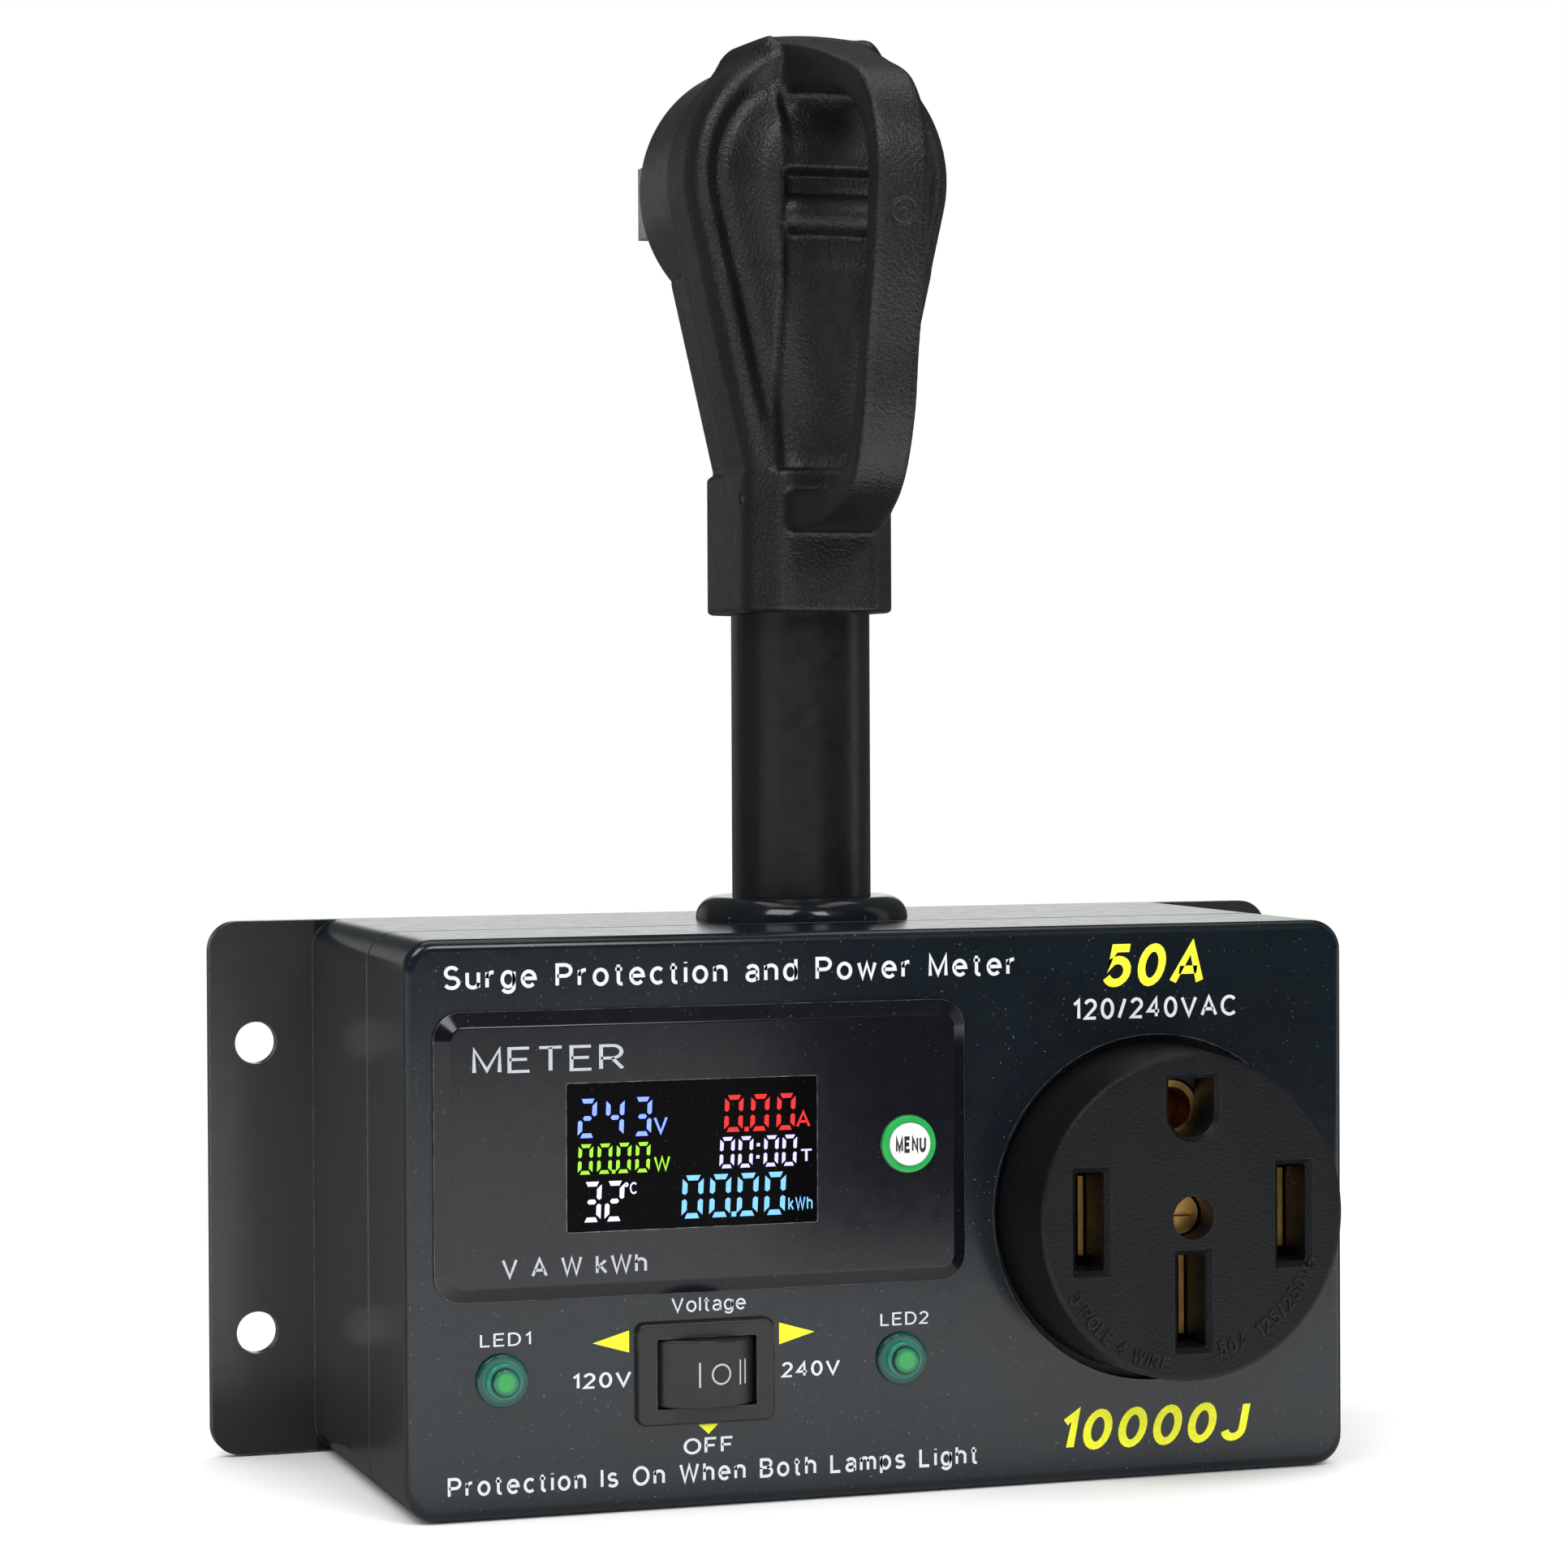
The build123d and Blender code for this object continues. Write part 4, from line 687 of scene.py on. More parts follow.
for cord_node, cord_slot in (
    ("cord_jacket", "cord_rubber"),
    ("line_wire_1", "wire_black"),
    ("line_wire_2", "wire_red"),
    ("neutral_wire", "wire_white"),
    ("ground_wire", "wire_green"),
):
    flexible(cord_node, cord_slot)


# ---- printing on the flat faces

INK_MM = 0.04
# Height of the small letters, with the capitals 1 high.
X_HEIGHT = 0.73
BOW_STEP_DEG = 18


def bow(x, y, across, up, start, stop):
    """Points along an ellipse about (x, y) from one angle to another, in degrees."""
    steps = max(3, round(abs(stop - start) / BOW_STEP_DEG))
    angles = np.radians(np.linspace(start, stop, steps + 1))
    return [(x + across * math.cos(a), y + up * math.sin(a)) for a in angles]


def ring(x, y, across, up):
    """A whole ellipse, starting at its top."""
    return bow(x, y, across, up, 90, 450)


def bowl(width):
    """The round part of a lower-case letter."""
    return ring(width / 2, X_HEIGHT / 2, width / 2, X_HEIGHT / 2)


def arch(left, width):
    """The shoulder and right leg of n, m and h."""
    return bow(left + width / 2, X_HEIGHT - 0.24, width / 2, 0.24, 180, 0) + [(left + width, 0)]


STEM = [(0, 0), (0, X_HEIGHT)]
TALL = [(0, 0), (0, 1)]
P_LOOP = [(0, 0), (0, 1), (0.33, 1)] + bow(0.33, 0.73, 0.26, 0.27, 90, -90) + [(0, 0.46)]

# The pen's path for each character: capitals are 1 high, lines run along the middle of the stroke.
GLYPHS = {
    "A": [[(0, 0), (0.35, 1), (0.7, 0)], [(0.12, 0.33), (0.58, 0.33)]],
    "B": [[(0.33, 0.53), (0, 0.53), (0, 1), (0.32, 1)] + bow(0.32, 0.765, 0.24, 0.235, 90, -90),
          [(0, 0.53), (0, 0), (0.33, 0)] + bow(0.33, 0.265, 0.27, 0.265, -90, 90)],
    "C": [bow(0.37, 0.5, 0.37, 0.5, 45, 315)],
    "D": [[(0, 0), (0, 1), (0.28, 1)] + bow(0.28, 0.5, 0.36, 0.5, 90, -90) + [(0, 0)]],
    "E": [[(0.56, 1), (0, 1), (0, 0), (0.57, 0)], [(0, 0.52), (0.5, 0.52)]],
    "F": [[(0.54, 1), (0, 1), (0, 0)], [(0, 0.5), (0.46, 0.5)]],
    "I": [TALL],
    "J": [bow(0.22, 0.25, 0.22, 0.25, 190, 360) + [(0.44, 1)]],
    "L": [[(0, 1), (0, 0), (0.5, 0)]],
    "M": [[(0, 0), (0, 1), (0.36, 0.08), (0.72, 1), (0.72, 0)]],
    "N": [[(0, 0), (0, 1), (0.6, 0), (0.6, 1)]],
    "O": [ring(0.39, 0.5, 0.39, 0.5)],
    "P": [P_LOOP],
    "R": [P_LOOP, [(0.32, 0.46), (0.62, 0)]],
    "S": [bow(0.3, 0.745, 0.26, 0.255, 28, 250) + bow(0.3, 0.255, 0.29, 0.255, 70, -155)],
    "T": [[(0, 1), (0.64, 1)], [(0.32, 1), (0.32, 0)]],
    "U": [[(0, 1)] + bow(0.3, 0.3, 0.3, 0.3, 180, 360) + [(0.6, 1)]],
    "V": [[(0, 1), (0.34, 0), (0.68, 1)]],
    "W": [[(0, 1), (0.24, 0), (0.48, 0.96), (0.72, 0), (0.96, 1)]],
    "a": [bow(0.24, 0.52, 0.22, 0.21, 160, 0) + [(0.46, 0)],
          [(0.46, 0.42), (0.2, 0.4)] + bow(0.2, 0.2, 0.2, 0.2, 90, 270) + [(0.3, 0.01), (0.46, 0.14)]],
    "c": [bow(0.27, X_HEIGHT / 2, 0.27, X_HEIGHT / 2, 48, 312)],
    "d": [bowl(0.5), [(0.5, 0), (0.5, 1)]],
    "e": [[(0.02, 0.38)] + bow(0.27, X_HEIGHT / 2, 0.27, X_HEIGHT / 2, 3, 318)],
    "g": [bowl(0.5), [(0.5, X_HEIGHT)] + bow(0.25, -0.02, 0.25, 0.24, 0, -155)],
    "h": [TALL, arch(0, 0.48)],
    "i": [STEM, [(0, 0.94), (0, 1)]],
    "k": [TALL, [(0.44, X_HEIGHT), (0, 0.28)], [(0.16, 0.43), (0.47, 0)]],
    "l": [TALL],
    "m": [STEM, arch(0, 0.39), arch(0.39, 0.39)],
    "n": [STEM, arch(0, 0.48)],
    "o": [bowl(0.55)],
    "p": [[(0, -0.27), (0, X_HEIGHT)], bowl(0.5)],
    "r": [STEM, bow(0.24, 0.44, 0.24, 0.29, 180, 80)],
    "s": [bow(0.22, 0.545, 0.2, 0.185, 28, 250) + bow(0.22, 0.185, 0.23, 0.185, 70, -155)],
    "t": [[(0.13, 0.95)] + bow(0.27, 0.14, 0.14, 0.14, 180, 285), [(0, X_HEIGHT), (0.29, X_HEIGHT)]],
    "u": [[(0, X_HEIGHT)] + bow(0.24, 0.24, 0.24, 0.24, 180, 360), [(0.48, 0), (0.48, X_HEIGHT)]],
    "w": [[(0, X_HEIGHT), (0.18, 0), (0.37, 0.7), (0.56, 0), (0.74, X_HEIGHT)]],
    "0": [ring(0.26, 0.5, 0.26, 0.5)],
    "1": [[(0.08, 0.76), (0.3, 1), (0.3, 0)]],
    "2": [bow(0.26, 0.72, 0.24, 0.28, 165, -40) + [(0, 0), (0.52, 0)]],
    "3": [bow(0.24, 0.75, 0.21, 0.25, 155, -85) + bow(0.24, 0.26, 0.26, 0.26, 80, -155)],
    "4": [[(0.4, 0), (0.4, 1), (0, 0.3), (0.54, 0.3)]],
    "5": [[(0.48, 1), (0.1, 1), (0.05, 0.52)] + bow(0.24, 0.33, 0.27, 0.33, 128, -150)],
    "/": [[(0, -0.02), (0.3, 1.02)]],
    "~": [bow(0.13, 0.44, 0.13, 0.12, 180, 20) + bow(0.37, 0.52, 0.13, 0.12, 200, 360)],
    "°": [ring(0.15, 0.86, 0.15, 0.14)],
    " ": [],
}
SPACE_WIDTH = 0.22
LETTER_GAP = 0.17


def ribbon(path, weight):
    """Left and right edge of a stroke of that weight along a path, mitred at its corners."""
    path = np.array(path, float)
    steps = np.diff(path, axis=0)
    steps = steps[np.hypot(*steps.T) > 1e-6]
    path = np.vstack([path[:1], path[0] + np.cumsum(steps, axis=0)])
    along = steps / np.hypot(*steps.T)[:, None]
    if np.allclose(path[0], path[-1]):
        before, after = np.vstack([along[-1:], along]), np.vstack([along, along[:1]])
    else:
        before, after = np.vstack([along[:1], along]), np.vstack([along, along[-1:]])
    middle_way = before + after
    middle_way /= np.maximum(np.hypot(*middle_way.T), 0.2)[:, None]
    across = np.stack([-middle_way[:, 1], middle_way[:, 0]], 1)
    square = np.abs((across * np.stack([-after[:, 1], after[:, 0]], 1)).sum(1))
    reach = weight / 2 / np.maximum(square, 0.5)
    return path + across * reach[:, None], path - across * reach[:, None]


def lettering(text, weight, slant, spacing):
    """Raised strokes of a line of text from x = 0: capitals 1 high, depth from -1 to 1."""
    points, faces = [], []
    pen = weight / 2
    for letter in text:
        strokes = GLYPHS[letter]
        width = max([x for path in strokes for x, _ in path], default=SPACE_WIDTH)
        for path in strokes:
            first = len(points)
            squeezed = [(x, weight / 2 + y * (1 - weight)) for x, y in path]
            for (lx, ly), (rx, ry) in zip(*ribbon(squeezed, weight)):
                left, right = pen + lx + slant * ly, pen + rx + slant * ry
                points += [(left, ly, -1), (left, ly, 1), (right, ry, 1), (right, ry, -1)]
            last = len(points) - 4
            faces.append((first + 3, first + 2, first + 1, first))
            faces.append((last, last + 1, last + 2, last + 3))
            for at in range(first, last, 4):
                faces += [(at + i, at + i + 1, at + i + 5, at + i + 4) for i in range(3)]
        pen += width + weight + LETTER_GAP * spacing
    return np.array(points), faces


def flat_text(name, text, centre_x, base_z, width, cap, face_y, material, body, slot_name,
              weight=0.14, slant=0.0, spacing=1.0, proud=INK_MM):
    """A printed line of text: centred on centre_x, its baseline at base_z, on the plane face_y."""
    points, faces = lettering(text, weight, slant, spacing)
    along, up, depth = points.T
    x = along / along.max() * width + centre_x - width / 2
    placed = np.stack([x, face_y - depth * proud, up * cap + base_z], 1)
    piece = mesh_piece(name, placed, faces, material, smooth=False)
    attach(piece, body)


def panel_printing():
    """The front cover's white legends and yellow ratings."""
    low, high = box("front_cover")
    face_y = low[1]
    socket_x = middle("receptacle_face")[0]
    switch_x = middle("switch_housing")[0]
    on_panel = dict(face_y=face_y, body="enclosure", slot_name="white_plastic")
    white = dict(on_panel, material=ink_white, weight=0.15)
    thin = dict(white, weight=0.12)
    wide = dict(white, spacing=1.3)
    yellow = dict(on_panel, material=ink_yellow, weight=0.19, slant=0.2)
    title = "Surge Protection and Power Meter"
    flat_text("print_title", title, low[0] + 54.4, high[2] - 7.9, 96.2, 3.8, **wide)
    notice = "Protection Is On When Both Lamps Light"
    flat_text("print_notice", notice, low[0] + 51.1, low[2] + 4.0, 89, 3.15, **wide)
    flat_text("print_supply", "120/240VAC", socket_x - 0.1, high[2] - 15.6, 29.6, 3.5, **white)
    flat_text("print_current", "50A", socket_x - 0.4, high[2] - 10.3, 18.4, 7.1, **yellow)
    flat_text("print_energy", "10000J", socket_x - 0.6, low[2] + 5.1, 35.6, 6.7, **yellow)
    for number, volts, side in (("1", "120V", -1), ("2", "240V", 1)):
        lamp = middle("lamp_lens_" + number)
        label = "LED" + number
        flat_text("print_lamp_" + number, label, lamp[0] + 0.6, lamp[2] + 5.4, 8.3, 2.1, **thin)
        volts_x = switch_x + 0.35 + side * 17.6
        flat_text("print_volts_" + number, volts, volts_x, lamp[2] - 2.1, 10.0, 2.5, **white)
    flat_text("print_voltage", "Voltage", switch_x + 0.75, lamp[2] + 9.3, 12.5, 2.45, **thin)
    flat_text("print_off", "OFF", switch_x + 0.5, lamp[2] - 13.6, 8.2, 2.6, **white)


def arrow(name, tip, base_a, base_b, face_y):
    """A printed triangle, given its three corners in x and z."""
    corners = [tip, base_a, base_b]
    points = [(x, face_y + depth, z) for depth in (-INK_MM, INK_MM) for x, z in corners]
    faces = [(0, 1, 2), (5, 4, 3), (0, 3, 4, 1), (1, 4, 5, 2), (2, 5, 3, 0)]
    piece = mesh_piece(name, points, faces, ink_yellow, smooth=False)
    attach(piece, "enclosure")


def switch_arrows():
    """Left and right arrows beside the voltage switch and the small one under it."""
    face_y = box("front_cover")[0][1]
    low, high = box("switch_housing")
    level = high[2] - 2.85
    for name, edge, out in (("print_arrow_left", low[0], -1), ("print_arrow_right", high[0], 1)):
        tip = (edge + out * 7.1, level)
        base_x = edge + out * 1.1
        arrow(name, tip, (base_x, level + 1.75), (base_x, level - 1.75), face_y)
    centre = (low[0] + high[0]) / 2 + 0.6
    base_z = low[2] - 0.35
    tip = (centre, low[2] - 1.9)
    arrow("print_arrow_down", tip, (centre - 1.65, base_z), (centre + 1.65, base_z), face_y)


def bezel_printing():
    """The meter bezel's plain word and units, and the button's legend."""
    low, high = box("meter_bezel")
    grey = dict(face_y=low[1], material=ink_grey, body="enclosure", slot_name="white_plastic")
    flat_text("print_meter", "METER", low[0] + 18.3, high[2] - 9.7, 24.8, 4.1, weight=0.11, **grey)
    flat_text("print_units", "V A W kWh", low[0] + 22.4, low[2] + 3.9, 23.8, 3.1, **grey)
    centre = middle("menu_button")
    button_face = box("menu_button")[0][1]
    black = dict(face_y=button_face, material=ink_black, body="button", slot_name="switch_plastic")
    flat_text("print_menu", "MENU", centre[0], centre[2] - 1.35, 5.2, 2.7, weight=0.24, **black)


panel_printing()
switch_arrows()
bezel_printing()


# ---- display readings

BLUE = (0.10, 0.16, 1.0)
RED = (0.9, 0.008, 0.008)
GREEN = (0.36, 0.9, 0.02)
VIOLET = (0.56, 0.50, 1.0)
WHITE_BLUE = (0.72, 0.76, 1.0)
SKY = (0.18, 0.52, 1.0)
DIGIT_SLANT = 0.045

SEGMENTS = {
    "0": "abcdef", "1": "bc", "2": "abged", "3": "abgcd", "4": "fgbc",
    "5": "afgcd", "6": "afgedc", "7": "abc", "8": "abcdefg", "9": "abcdfg",
}

# Name, digits, unit, colour, strength, left and top from the glass's corner, pitch, digit width and
# height, then the unit's left and top, and its width and height.
READINGS = [
    ("volts", "243", "V", BLUE, 3.2, (1.8, 2.5), 4.55, (3.0, 6.2), (14.4, 5.7), (2.3, 2.8)),
    ("amps", "0.00", "A", RED, 1.0, (26.1, 2.7), 4.4, (3.1, 5.9), (38.3, 5.6), (2.4, 2.7)),
    ("watts", "00.00", "W", GREEN, 1.0, (1.8, 9.7), 3.15, (2.4, 4.8), (14.4, 12.0), (2.7, 2.4)),
    ("time", "00:00", "T", VIOLET, 1.4, (25.3, 9.4), 3.1, (2.45, 5.0), (38.9, 11.8), (2.0, 2.1)),
    ("heat", "32", "°C", WHITE_BLUE, 1.4, (2.4, 15.7), 3.75, (3.1, 6.4), (9.5, 16.0), (2.0, 1.9)),
    ("energy", "00.00", "kWh", SKY, 1.2, (18.9, 15.3), 4.62, (3.5, 6.9), (36.9, 19.4), (4.1, 2.2)),
]
COLON_SPACE = 1.2
BEZEL_LIP = 1.5
# How far the lit figures stand out of the window's face, and how far they reach into it.
LIT_PROUD = 0.03
LIT_BURIED = 0.02


def segment_shapes(w, h):
    """The seven segments of a digit w wide and h high, as corner lists with x right and z up."""
    t = 0.24 * w
    gap = 0.07 * w
    m = h / 2
    corner = 0.35 * t
    inner = t + gap * 0.4
    top = [(gap + corner, h), (w - gap - corner, h), (w - inner, h - t), (inner, h - t)]
    bottom = [(x, h - z) for x, z in top]
    bar_end, bar_shoulder = t * 0.8 + gap, t + gap * 1.6
    bar_top = [(bar_shoulder, m + t / 2), (w - bar_shoulder, m + t / 2)]
    bar_bottom = [(w - bar_shoulder, m - t / 2), (bar_shoulder, m - t / 2)]
    bar = [(bar_end, m), *bar_top, (w - bar_end, m), *bar_bottom]
    upper_left = [
        (0, h - gap - corner),
        (t, h - t - gap * 2),
        (t, m + t * 0.55 + gap),
        (t * 0.55, m + gap * 1.4),
        (0, m + t * 0.4 + gap),
    ]
    upper_right = [(w - x, z) for x, z in upper_left]
    lower_left = [(x, h - z) for x, z in upper_left]
    lower_right = [(w - x, z) for x, z in lower_left]
    shapes = (top, upper_right, lower_right, bottom, lower_left, upper_left, bar)
    return dict(zip("abcdefg", shapes))


def dot_shape(x, z, size):
    return [(x, z), (x, z + size), (x + size, z + size), (x + size, z)]


def reading_shapes(digits, pitch, w, h):
    """Corner lists for a whole reading, its first digit's lower left corner at the origin."""
    shapes = []
    x = 0.0
    for mark in digits:
        if mark == ".":
            shapes.append(dot_shape(x - (pitch - w) / 2 - 0.3, 0.0, 0.2 * w + 0.1))
        elif mark == ":":
            shapes += [dot_shape(x - 0.05, h * level, 0.22 * w) for level in (0.27, 0.66)]
            x += COLON_SPACE
        else:
            parts = segment_shapes(w, h)
            shapes += [[(px + x, pz) for px, pz in parts[s]] for s in SEGMENTS[mark]]
            x += pitch
    return [[(px + DIGIT_SLANT * pz, pz) for px, pz in shape] for shape in shapes]


def prism_faces(first, corners):
    """Faces of a prism: its front ring of points starts at first, and its back ring follows."""
    back = first + corners
    faces = [tuple(range(first, back)), tuple(range(back + corners - 1, back - 1, -1))]
    for i in range(corners):
        following = (i + 1) % corners
        faces.append((first + i, back + i, back + following, first + following))
    return faces


def display_readings():
    """Lit seven-segment figures and unit letters on the window, one piece for each reading."""
    low, high = box("display_window")
    left, top, face_y = low[0] + BEZEL_LIP, high[2] - BEZEL_LIP, low[1]
    for name, digits, unit, colour, strength, start, pitch, size, unit_start, unit_size in READINGS:
        light = glowing("lit_" + name, colour, strength).material
        corner_x, corner_z = left + start[0], top - start[1] - size[1]
        points, faces = [], []
        for shape in reading_shapes(digits, pitch, *size):
            first = len(points)
            for y in (face_y - LIT_PROUD, face_y + LIT_BURIED):
                points += [(corner_x + px, y, corner_z + pz) for px, pz in shape]
            faces += prism_faces(first, len(shape))
        piece = mesh_piece("reading_" + name, points, faces, light, smooth=False)
        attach(piece, "enclosure")
        unit_width, unit_cap = unit_size
        unit_x, unit_z = left + unit_start[0] + unit_width / 2, top - unit_start[1] - unit_cap
        flat_text("unit_" + name, unit, unit_x, unit_z, unit_width, unit_cap, face_y, light,
                  "enclosure", "display_plastic", proud=LIT_PROUD)


display_readings()


# ---- marks that follow a curved face

def draped(name, quads, node, material, body):
    """Thin marks laid on a CAD node's front: quads in x and z, dropped onto it along +Y."""
    tree = BVHTree.FromObject(nodes[node], bpy.context.evaluated_depsgraph_get())
    start_y = box(node)[0][1] - 5
    points, faces = [], []
    for quad in quads:
        first = len(points)
        for x, z in quad:
            hit = tree.ray_cast(Vector((x, start_y, z)) * MM, Vector((0, 1, 0)))
            points.append((x, hit[0].y / MM - INK_MM, z))
        faces.append(tuple(range(first, first + len(quad))))
    piece = mesh_piece(name, points, faces, material, smooth=False)
    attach(piece, body)


def stroke(x, low_z, high_z, thick, steps=6):
    """A vertical stroke as a ladder of small quads."""
    levels = np.linspace(low_z, high_z, steps)
    left, right = x - thick / 2, x + thick / 2
    return [[(left, a), (right, a), (right, b), (left, b)] for a, b in zip(levels, levels[1:])]


def hoop(x, z, radius, thick, steps=28):
    """A ring as a chain of small quads."""
    inner, outer = radius - thick / 2, radius + thick / 2
    quads = []
    for i in range(steps):
        a, b = (2 * math.pi * k / steps for k in (i, i + 1))
        corners = ((inner, a), (outer, a), (outer, b), (inner, b))
        quads.append([(x + r * math.cos(t), z + r * math.sin(t)) for r, t in corners])
    return quads


def rocker_marks():
    """The thin I, O and II on the rocker's barrel face."""
    x, _, z = middle("switch_rocker")
    thick = 0.3
    quads = hoop(x + 1.6, z, 1.55, thick)
    for stroke_x in (x - 2.0, x + 5.1, x + 6.1):
        quads += stroke(stroke_x, z - 2.0, z + 2.0, thick)
    draped("print_rocker", quads, "switch_rocker", ink_grey, "rocker")


EMBOSS_MM = 0.3


def arc_text(name, text, radius, start_deg, stop_deg, cap):
    """Raised text along the socket's rim, its letters' feet towards the rim."""
    centre_x, _, centre_z = middle("receptacle_face")
    face_y = box("receptacle_face")[0][1]
    points, faces = lettering(text, 0.16, 0.0, 1.2)
    along, up, depth = points.T
    angle = np.radians(start_deg + (stop_deg - start_deg) * along / along.max())
    reach = radius - up * cap
    x = centre_x + reach * np.cos(angle)
    z = centre_z + reach * np.sin(angle)
    placed = np.stack([x, face_y - depth * EMBOSS_MM, z], 1)
    piece = mesh_piece(name, placed, faces, looks["socket_plastic"], smooth=False)
    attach(piece, "enclosure")


rocker_marks()
arc_text("emboss_wiring", "3 POLE 4 WIRE", 25.3, 209, 259, 2.4)
arc_text("emboss_rating", "50A 125/250V~", 23.4, 281, 341, 2.5)


# ---- stage, light and camera

FLOOR_HALF_MM = 6000
FLOOR_GAP_MM = 0.3
# Distances from the middle between which the floor fades into the white surroundings, in metres.
FLOOR_FADE = (0.25, 1.2)
# Share of the floor's light that glossy faces lose behind the box, and the brightness left there.
MIRROR_LOSS = 0.9
MIRROR_DIM = 0.03


def floor():
    """A wide, plain pale floor under the box, dim behind it as the glossy faces see it."""
    level = cad_low.z / MM - FLOOR_GAP_MM
    half = FLOOR_HALF_MM
    points = [(-half, -half, level), (half, -half, level), (half, half, level), (-half, half, level)]
    s = Shading("floor")
    grain = s.spread(s.noise(30, detail=4), 0, 1)
    s.set(Base_Color=s.mix(grain, shade((0.93,) * 3, 1), shade((0.97,) * 3, 1)))
    s.set(Roughness=0.7, Specular_IOR_Level=0.1)
    distance = s.node("ShaderNodeVectorMath", Vector=s.place)
    distance.operation = "LENGTH"
    far = s.spread(distance.outputs["Value"], 0, 1, *FLOOR_FADE)
    glow = s.node("ShaderNodeEmission", Strength=1.0)
    plain = s.blend(far, s.shader.outputs[0], glow.outputs[0])
    mirrored = s.node("ShaderNodeLightPath").outputs["Is Glossy Ray"]
    behind = s.spread(s.axis("Y"), 0, MIRROR_LOSS, -0.10, -0.06)
    dim = s.node("ShaderNodeEmission", Strength=MIRROR_DIM)
    seen = s.blend(s.math("MULTIPLY", mirrored, behind), plain, dim.outputs[0])
    s.plug(seen, s.tree.nodes["Material Output"].inputs["Surface"])
    piece = mesh_piece("floor", points, [(0, 1, 2, 3)], s.material, smooth=False)


def black_card(name, left_x, right_x, y, high_z):
    """A studio flag on the floor: seen only in reflections, where it keeps glossy faces dark."""
    low_z = cad_low.z / MM
    points = [(left_x, y, low_z), (right_x, y, low_z), (right_x, y, high_z), (left_x, y, high_z)]
    s = Shading(name)
    s.set(Base_Color=(0.004, 0.004, 0.005, 1), Roughness=1.0, Specular_IOR_Level=0.0)
    card = mesh_piece(name, points, [(0, 1, 2, 3)], s.material, smooth=False)
    card.visible_camera = False
    card.visible_diffuse = False
    card.visible_shadow = False
    card.visible_transmission = False


def softbox(name, place, aim, width, height, radiance):
    """An area light of the given radiance, so its wattage follows from its size."""
    light = bpy.data.lights.new(name, "AREA")
    light.shape = "RECTANGLE"
    light.size = width
    light.size_y = height
    light.energy = radiance * math.pi * width * height
    lamp = bpy.data.objects.new(name, light)
    lamp.location = place
    lamp.rotation_mode = "QUATERNION"
    lamp.rotation_quaternion = (Vector(aim) - Vector(place)).to_track_quat("-Z", "Y")
    bpy.context.scene.collection.objects.link(lamp)


WHITE_WORLD = 1.0
DIM_WORLD = 0.08
DIM_TINT = (0.97, 1.0, 0.98, 1)
# Direction, the cosines between which the wall fades in, and its strength.
BRIGHT_WALLS = [
    ((0.30, 0.95, 0.07), 0.975, 0.994, 0.95),
    ((-0.33, 0.94, 0.00), 0.93, 0.985, 0.22),
]


def bright_wall(tree, way, direction, start, stop, strength):
    """Brightness of a soft-edged wall that faces the box from that direction."""
    toward = tree.nodes.new("ShaderNodeVectorMath")
    toward.operation = "DOT_PRODUCT"
    toward.inputs[1].default_value = Vector(direction).normalized()
    tree.links.new(way, toward.inputs[0])
    wall = tree.nodes.new("ShaderNodeMapRange")
    wall.interpolation_type = "SMOOTHSTEP"
    for name, number in (("From Min", start), ("From Max", stop), ("To Max", strength)):
        wall.inputs[name].default_value = number
    tree.links.new(toward.outputs["Value"], wall.inputs["Value"])
    return wall.outputs[0]


def background(tree, colour):
    """A world shader of one colour."""
    made = tree.nodes.new("ShaderNodeBackground")
    made.inputs["Color"].default_value = colour
    return made


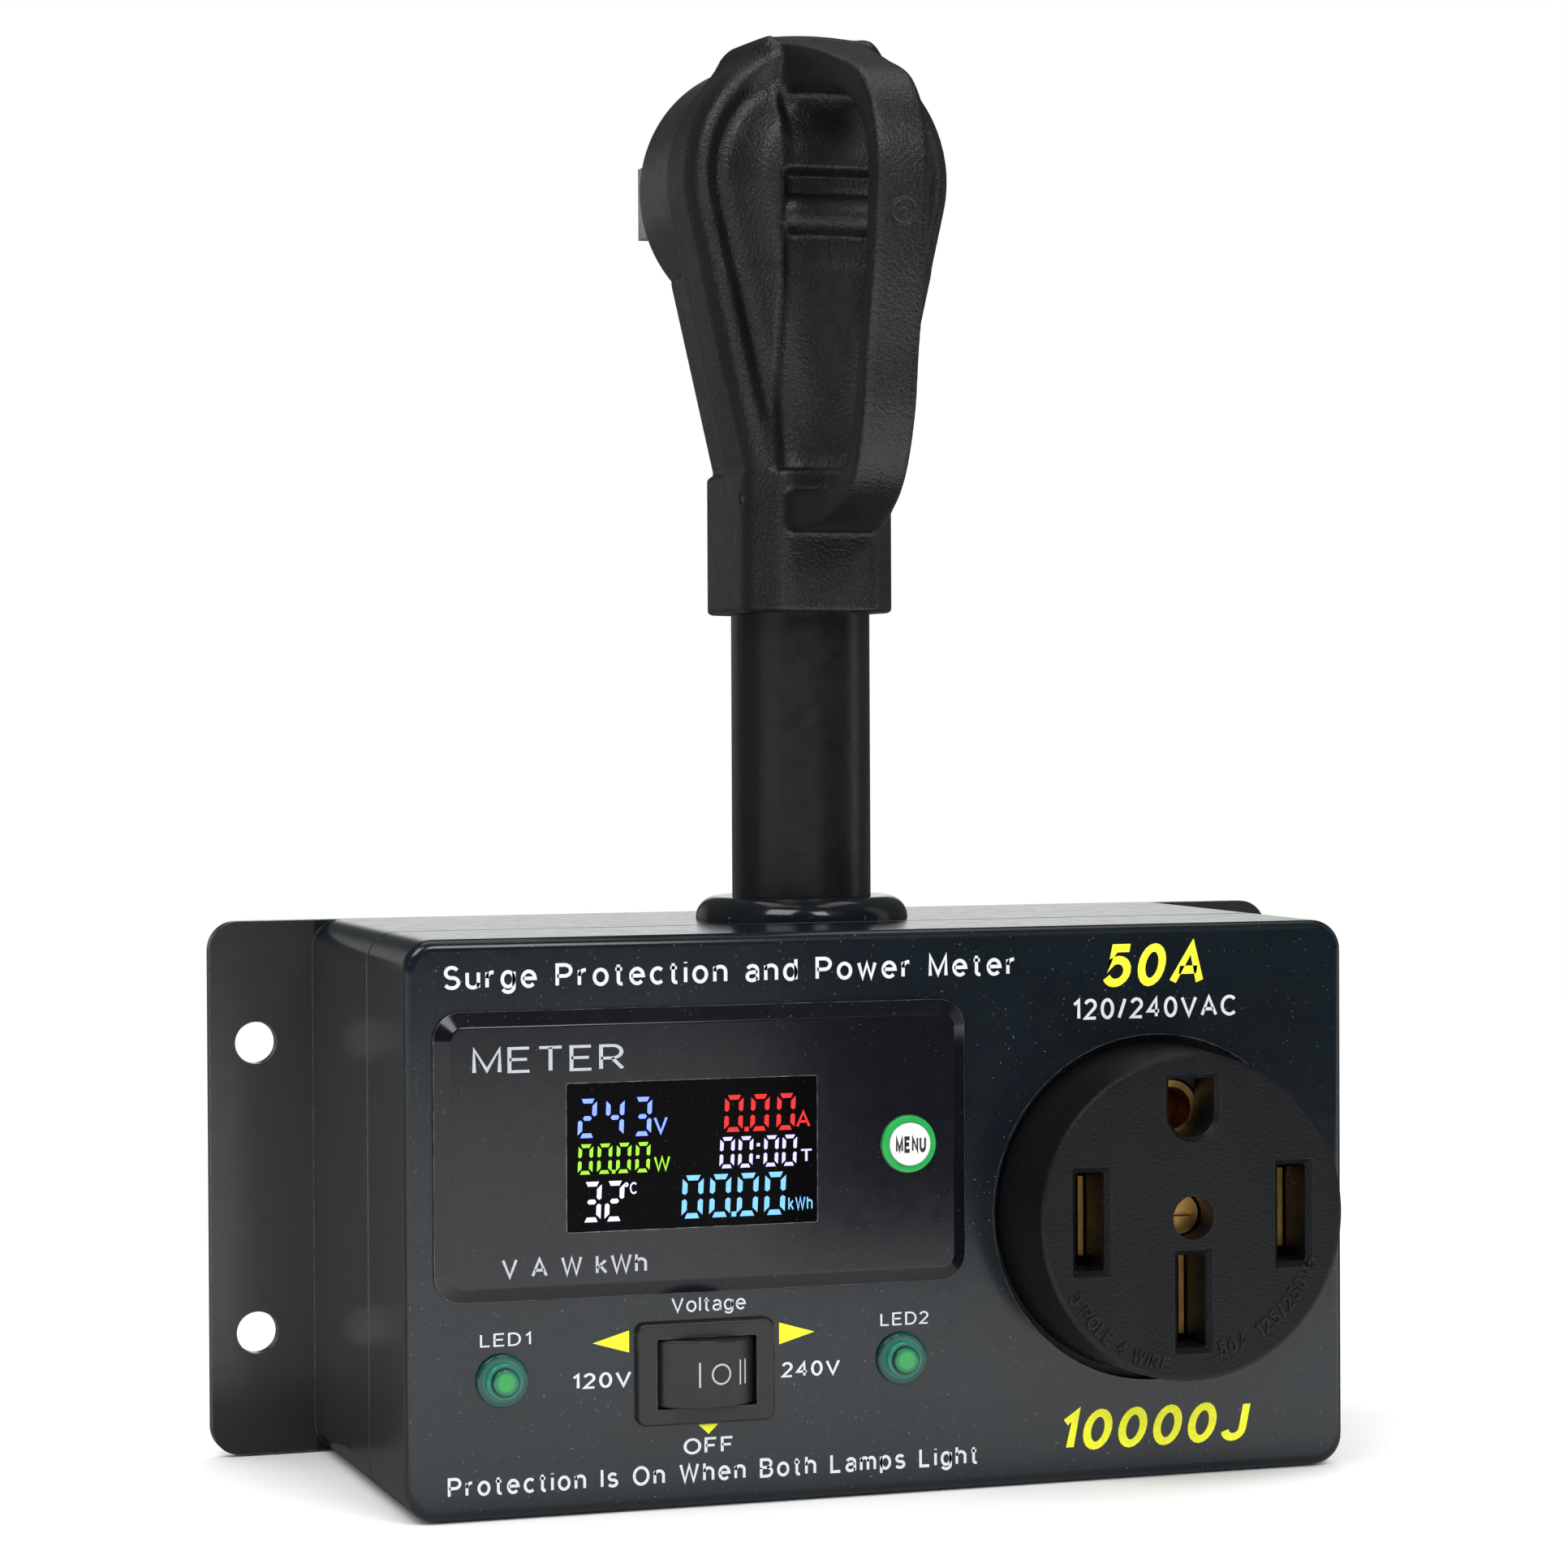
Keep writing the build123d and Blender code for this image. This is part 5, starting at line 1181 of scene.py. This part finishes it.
def studio_world():
    """White surroundings, dim in reflections but for bright walls behind the box."""
    world = bpy.data.worlds.new("studio")
    world.use_nodes = True
    tree = world.node_tree
    tree.nodes.clear()
    bright = background(tree, (1, 1, 1, 1))
    bright.inputs["Strength"].default_value = WHITE_WORLD
    dim = background(tree, DIM_TINT)
    way = tree.nodes.new("ShaderNodeTexCoord").outputs["Generated"]
    level = tree.nodes.new("ShaderNodeValue").outputs[0]
    level.default_value = DIM_WORLD
    for wall in BRIGHT_WALLS:
        total = tree.nodes.new("ShaderNodeMath")
        tree.links.new(level, total.inputs[0])
        tree.links.new(bright_wall(tree, way, *wall), total.inputs[1])
        level = total.outputs[0]
    tree.links.new(level, dim.inputs["Strength"])
    path = tree.nodes.new("ShaderNodeLightPath")
    mix = tree.nodes.new("ShaderNodeMixShader")
    output = tree.nodes.new("ShaderNodeOutputWorld")
    tree.links.new(path.outputs["Is Glossy Ray"], mix.inputs[0])
    tree.links.new(bright.outputs[0], mix.inputs[1])
    tree.links.new(dim.outputs[0], mix.inputs[2])
    tree.links.new(mix.outputs[0], output.inputs["Surface"])
    world.cycles.sampling_method = "NONE"
    bpy.context.scene.world = world


CAMERA_PLACE = (-0.2262, -0.7098, 0.0823)
# Turn to the right of straight ahead, tilt up and roll, in degrees.
CAMERA_TURN = (18.04, -0.745, -0.275)


def camera():
    """A long lens, left of centre and just above the cord's gland."""
    data = bpy.data.cameras.new("camera")
    data.sensor_width = 36.0
    data.lens = 95.33
    data.shift_x = 0.00264
    data.shift_y = -0.01434
    data.clip_start = 0.01
    data.clip_end = 50.0
    yaw, pitch, roll = (math.radians(angle) for angle in CAMERA_TURN)
    ahead = math.cos(pitch)
    forward = Vector((math.sin(yaw) * ahead, math.cos(yaw) * ahead, math.sin(pitch)))
    right = Vector((math.cos(yaw), -math.sin(yaw), 0))
    up = right.cross(forward)
    tilted_right = right * math.cos(roll) + up * math.sin(roll)
    tilted_up = up * math.cos(roll) - right * math.sin(roll)
    axes = Matrix((tilted_right, tilted_up, -forward)).transposed()
    holder = bpy.data.objects.new("camera", data)
    holder.matrix_world = Matrix.Translation(CAMERA_PLACE) @ axes.to_4x4()
    bpy.context.scene.collection.objects.link(holder)
    bpy.context.scene.camera = holder


floor()
black_card("flag_front", 78, 1400, -375, 700)
black_card("flag_far", -1500, 600, -1050, 1200)
# Name, place, aim, width, height and radiance.
softbox("key", (-0.55, -0.55, 0.85), (0, -0.03, 0.08), 0.5, 0.5, 5.5)
softbox("side", (0.9, -0.15, 0.35), (0, -0.03, 0.1), 0.3, 0.9, 0.3)
softbox("front", (0.20, -0.95, 0.75), (0, -0.04, 0.13), 0.5, 0.5, 7.0)
softbox("top", (0.1, 0.2, 1.2), (0, 0, 0), 0.9, 0.9, 1.2)
studio_world()
camera()
bpy.context.scene.view_settings.view_transform = "Standard"
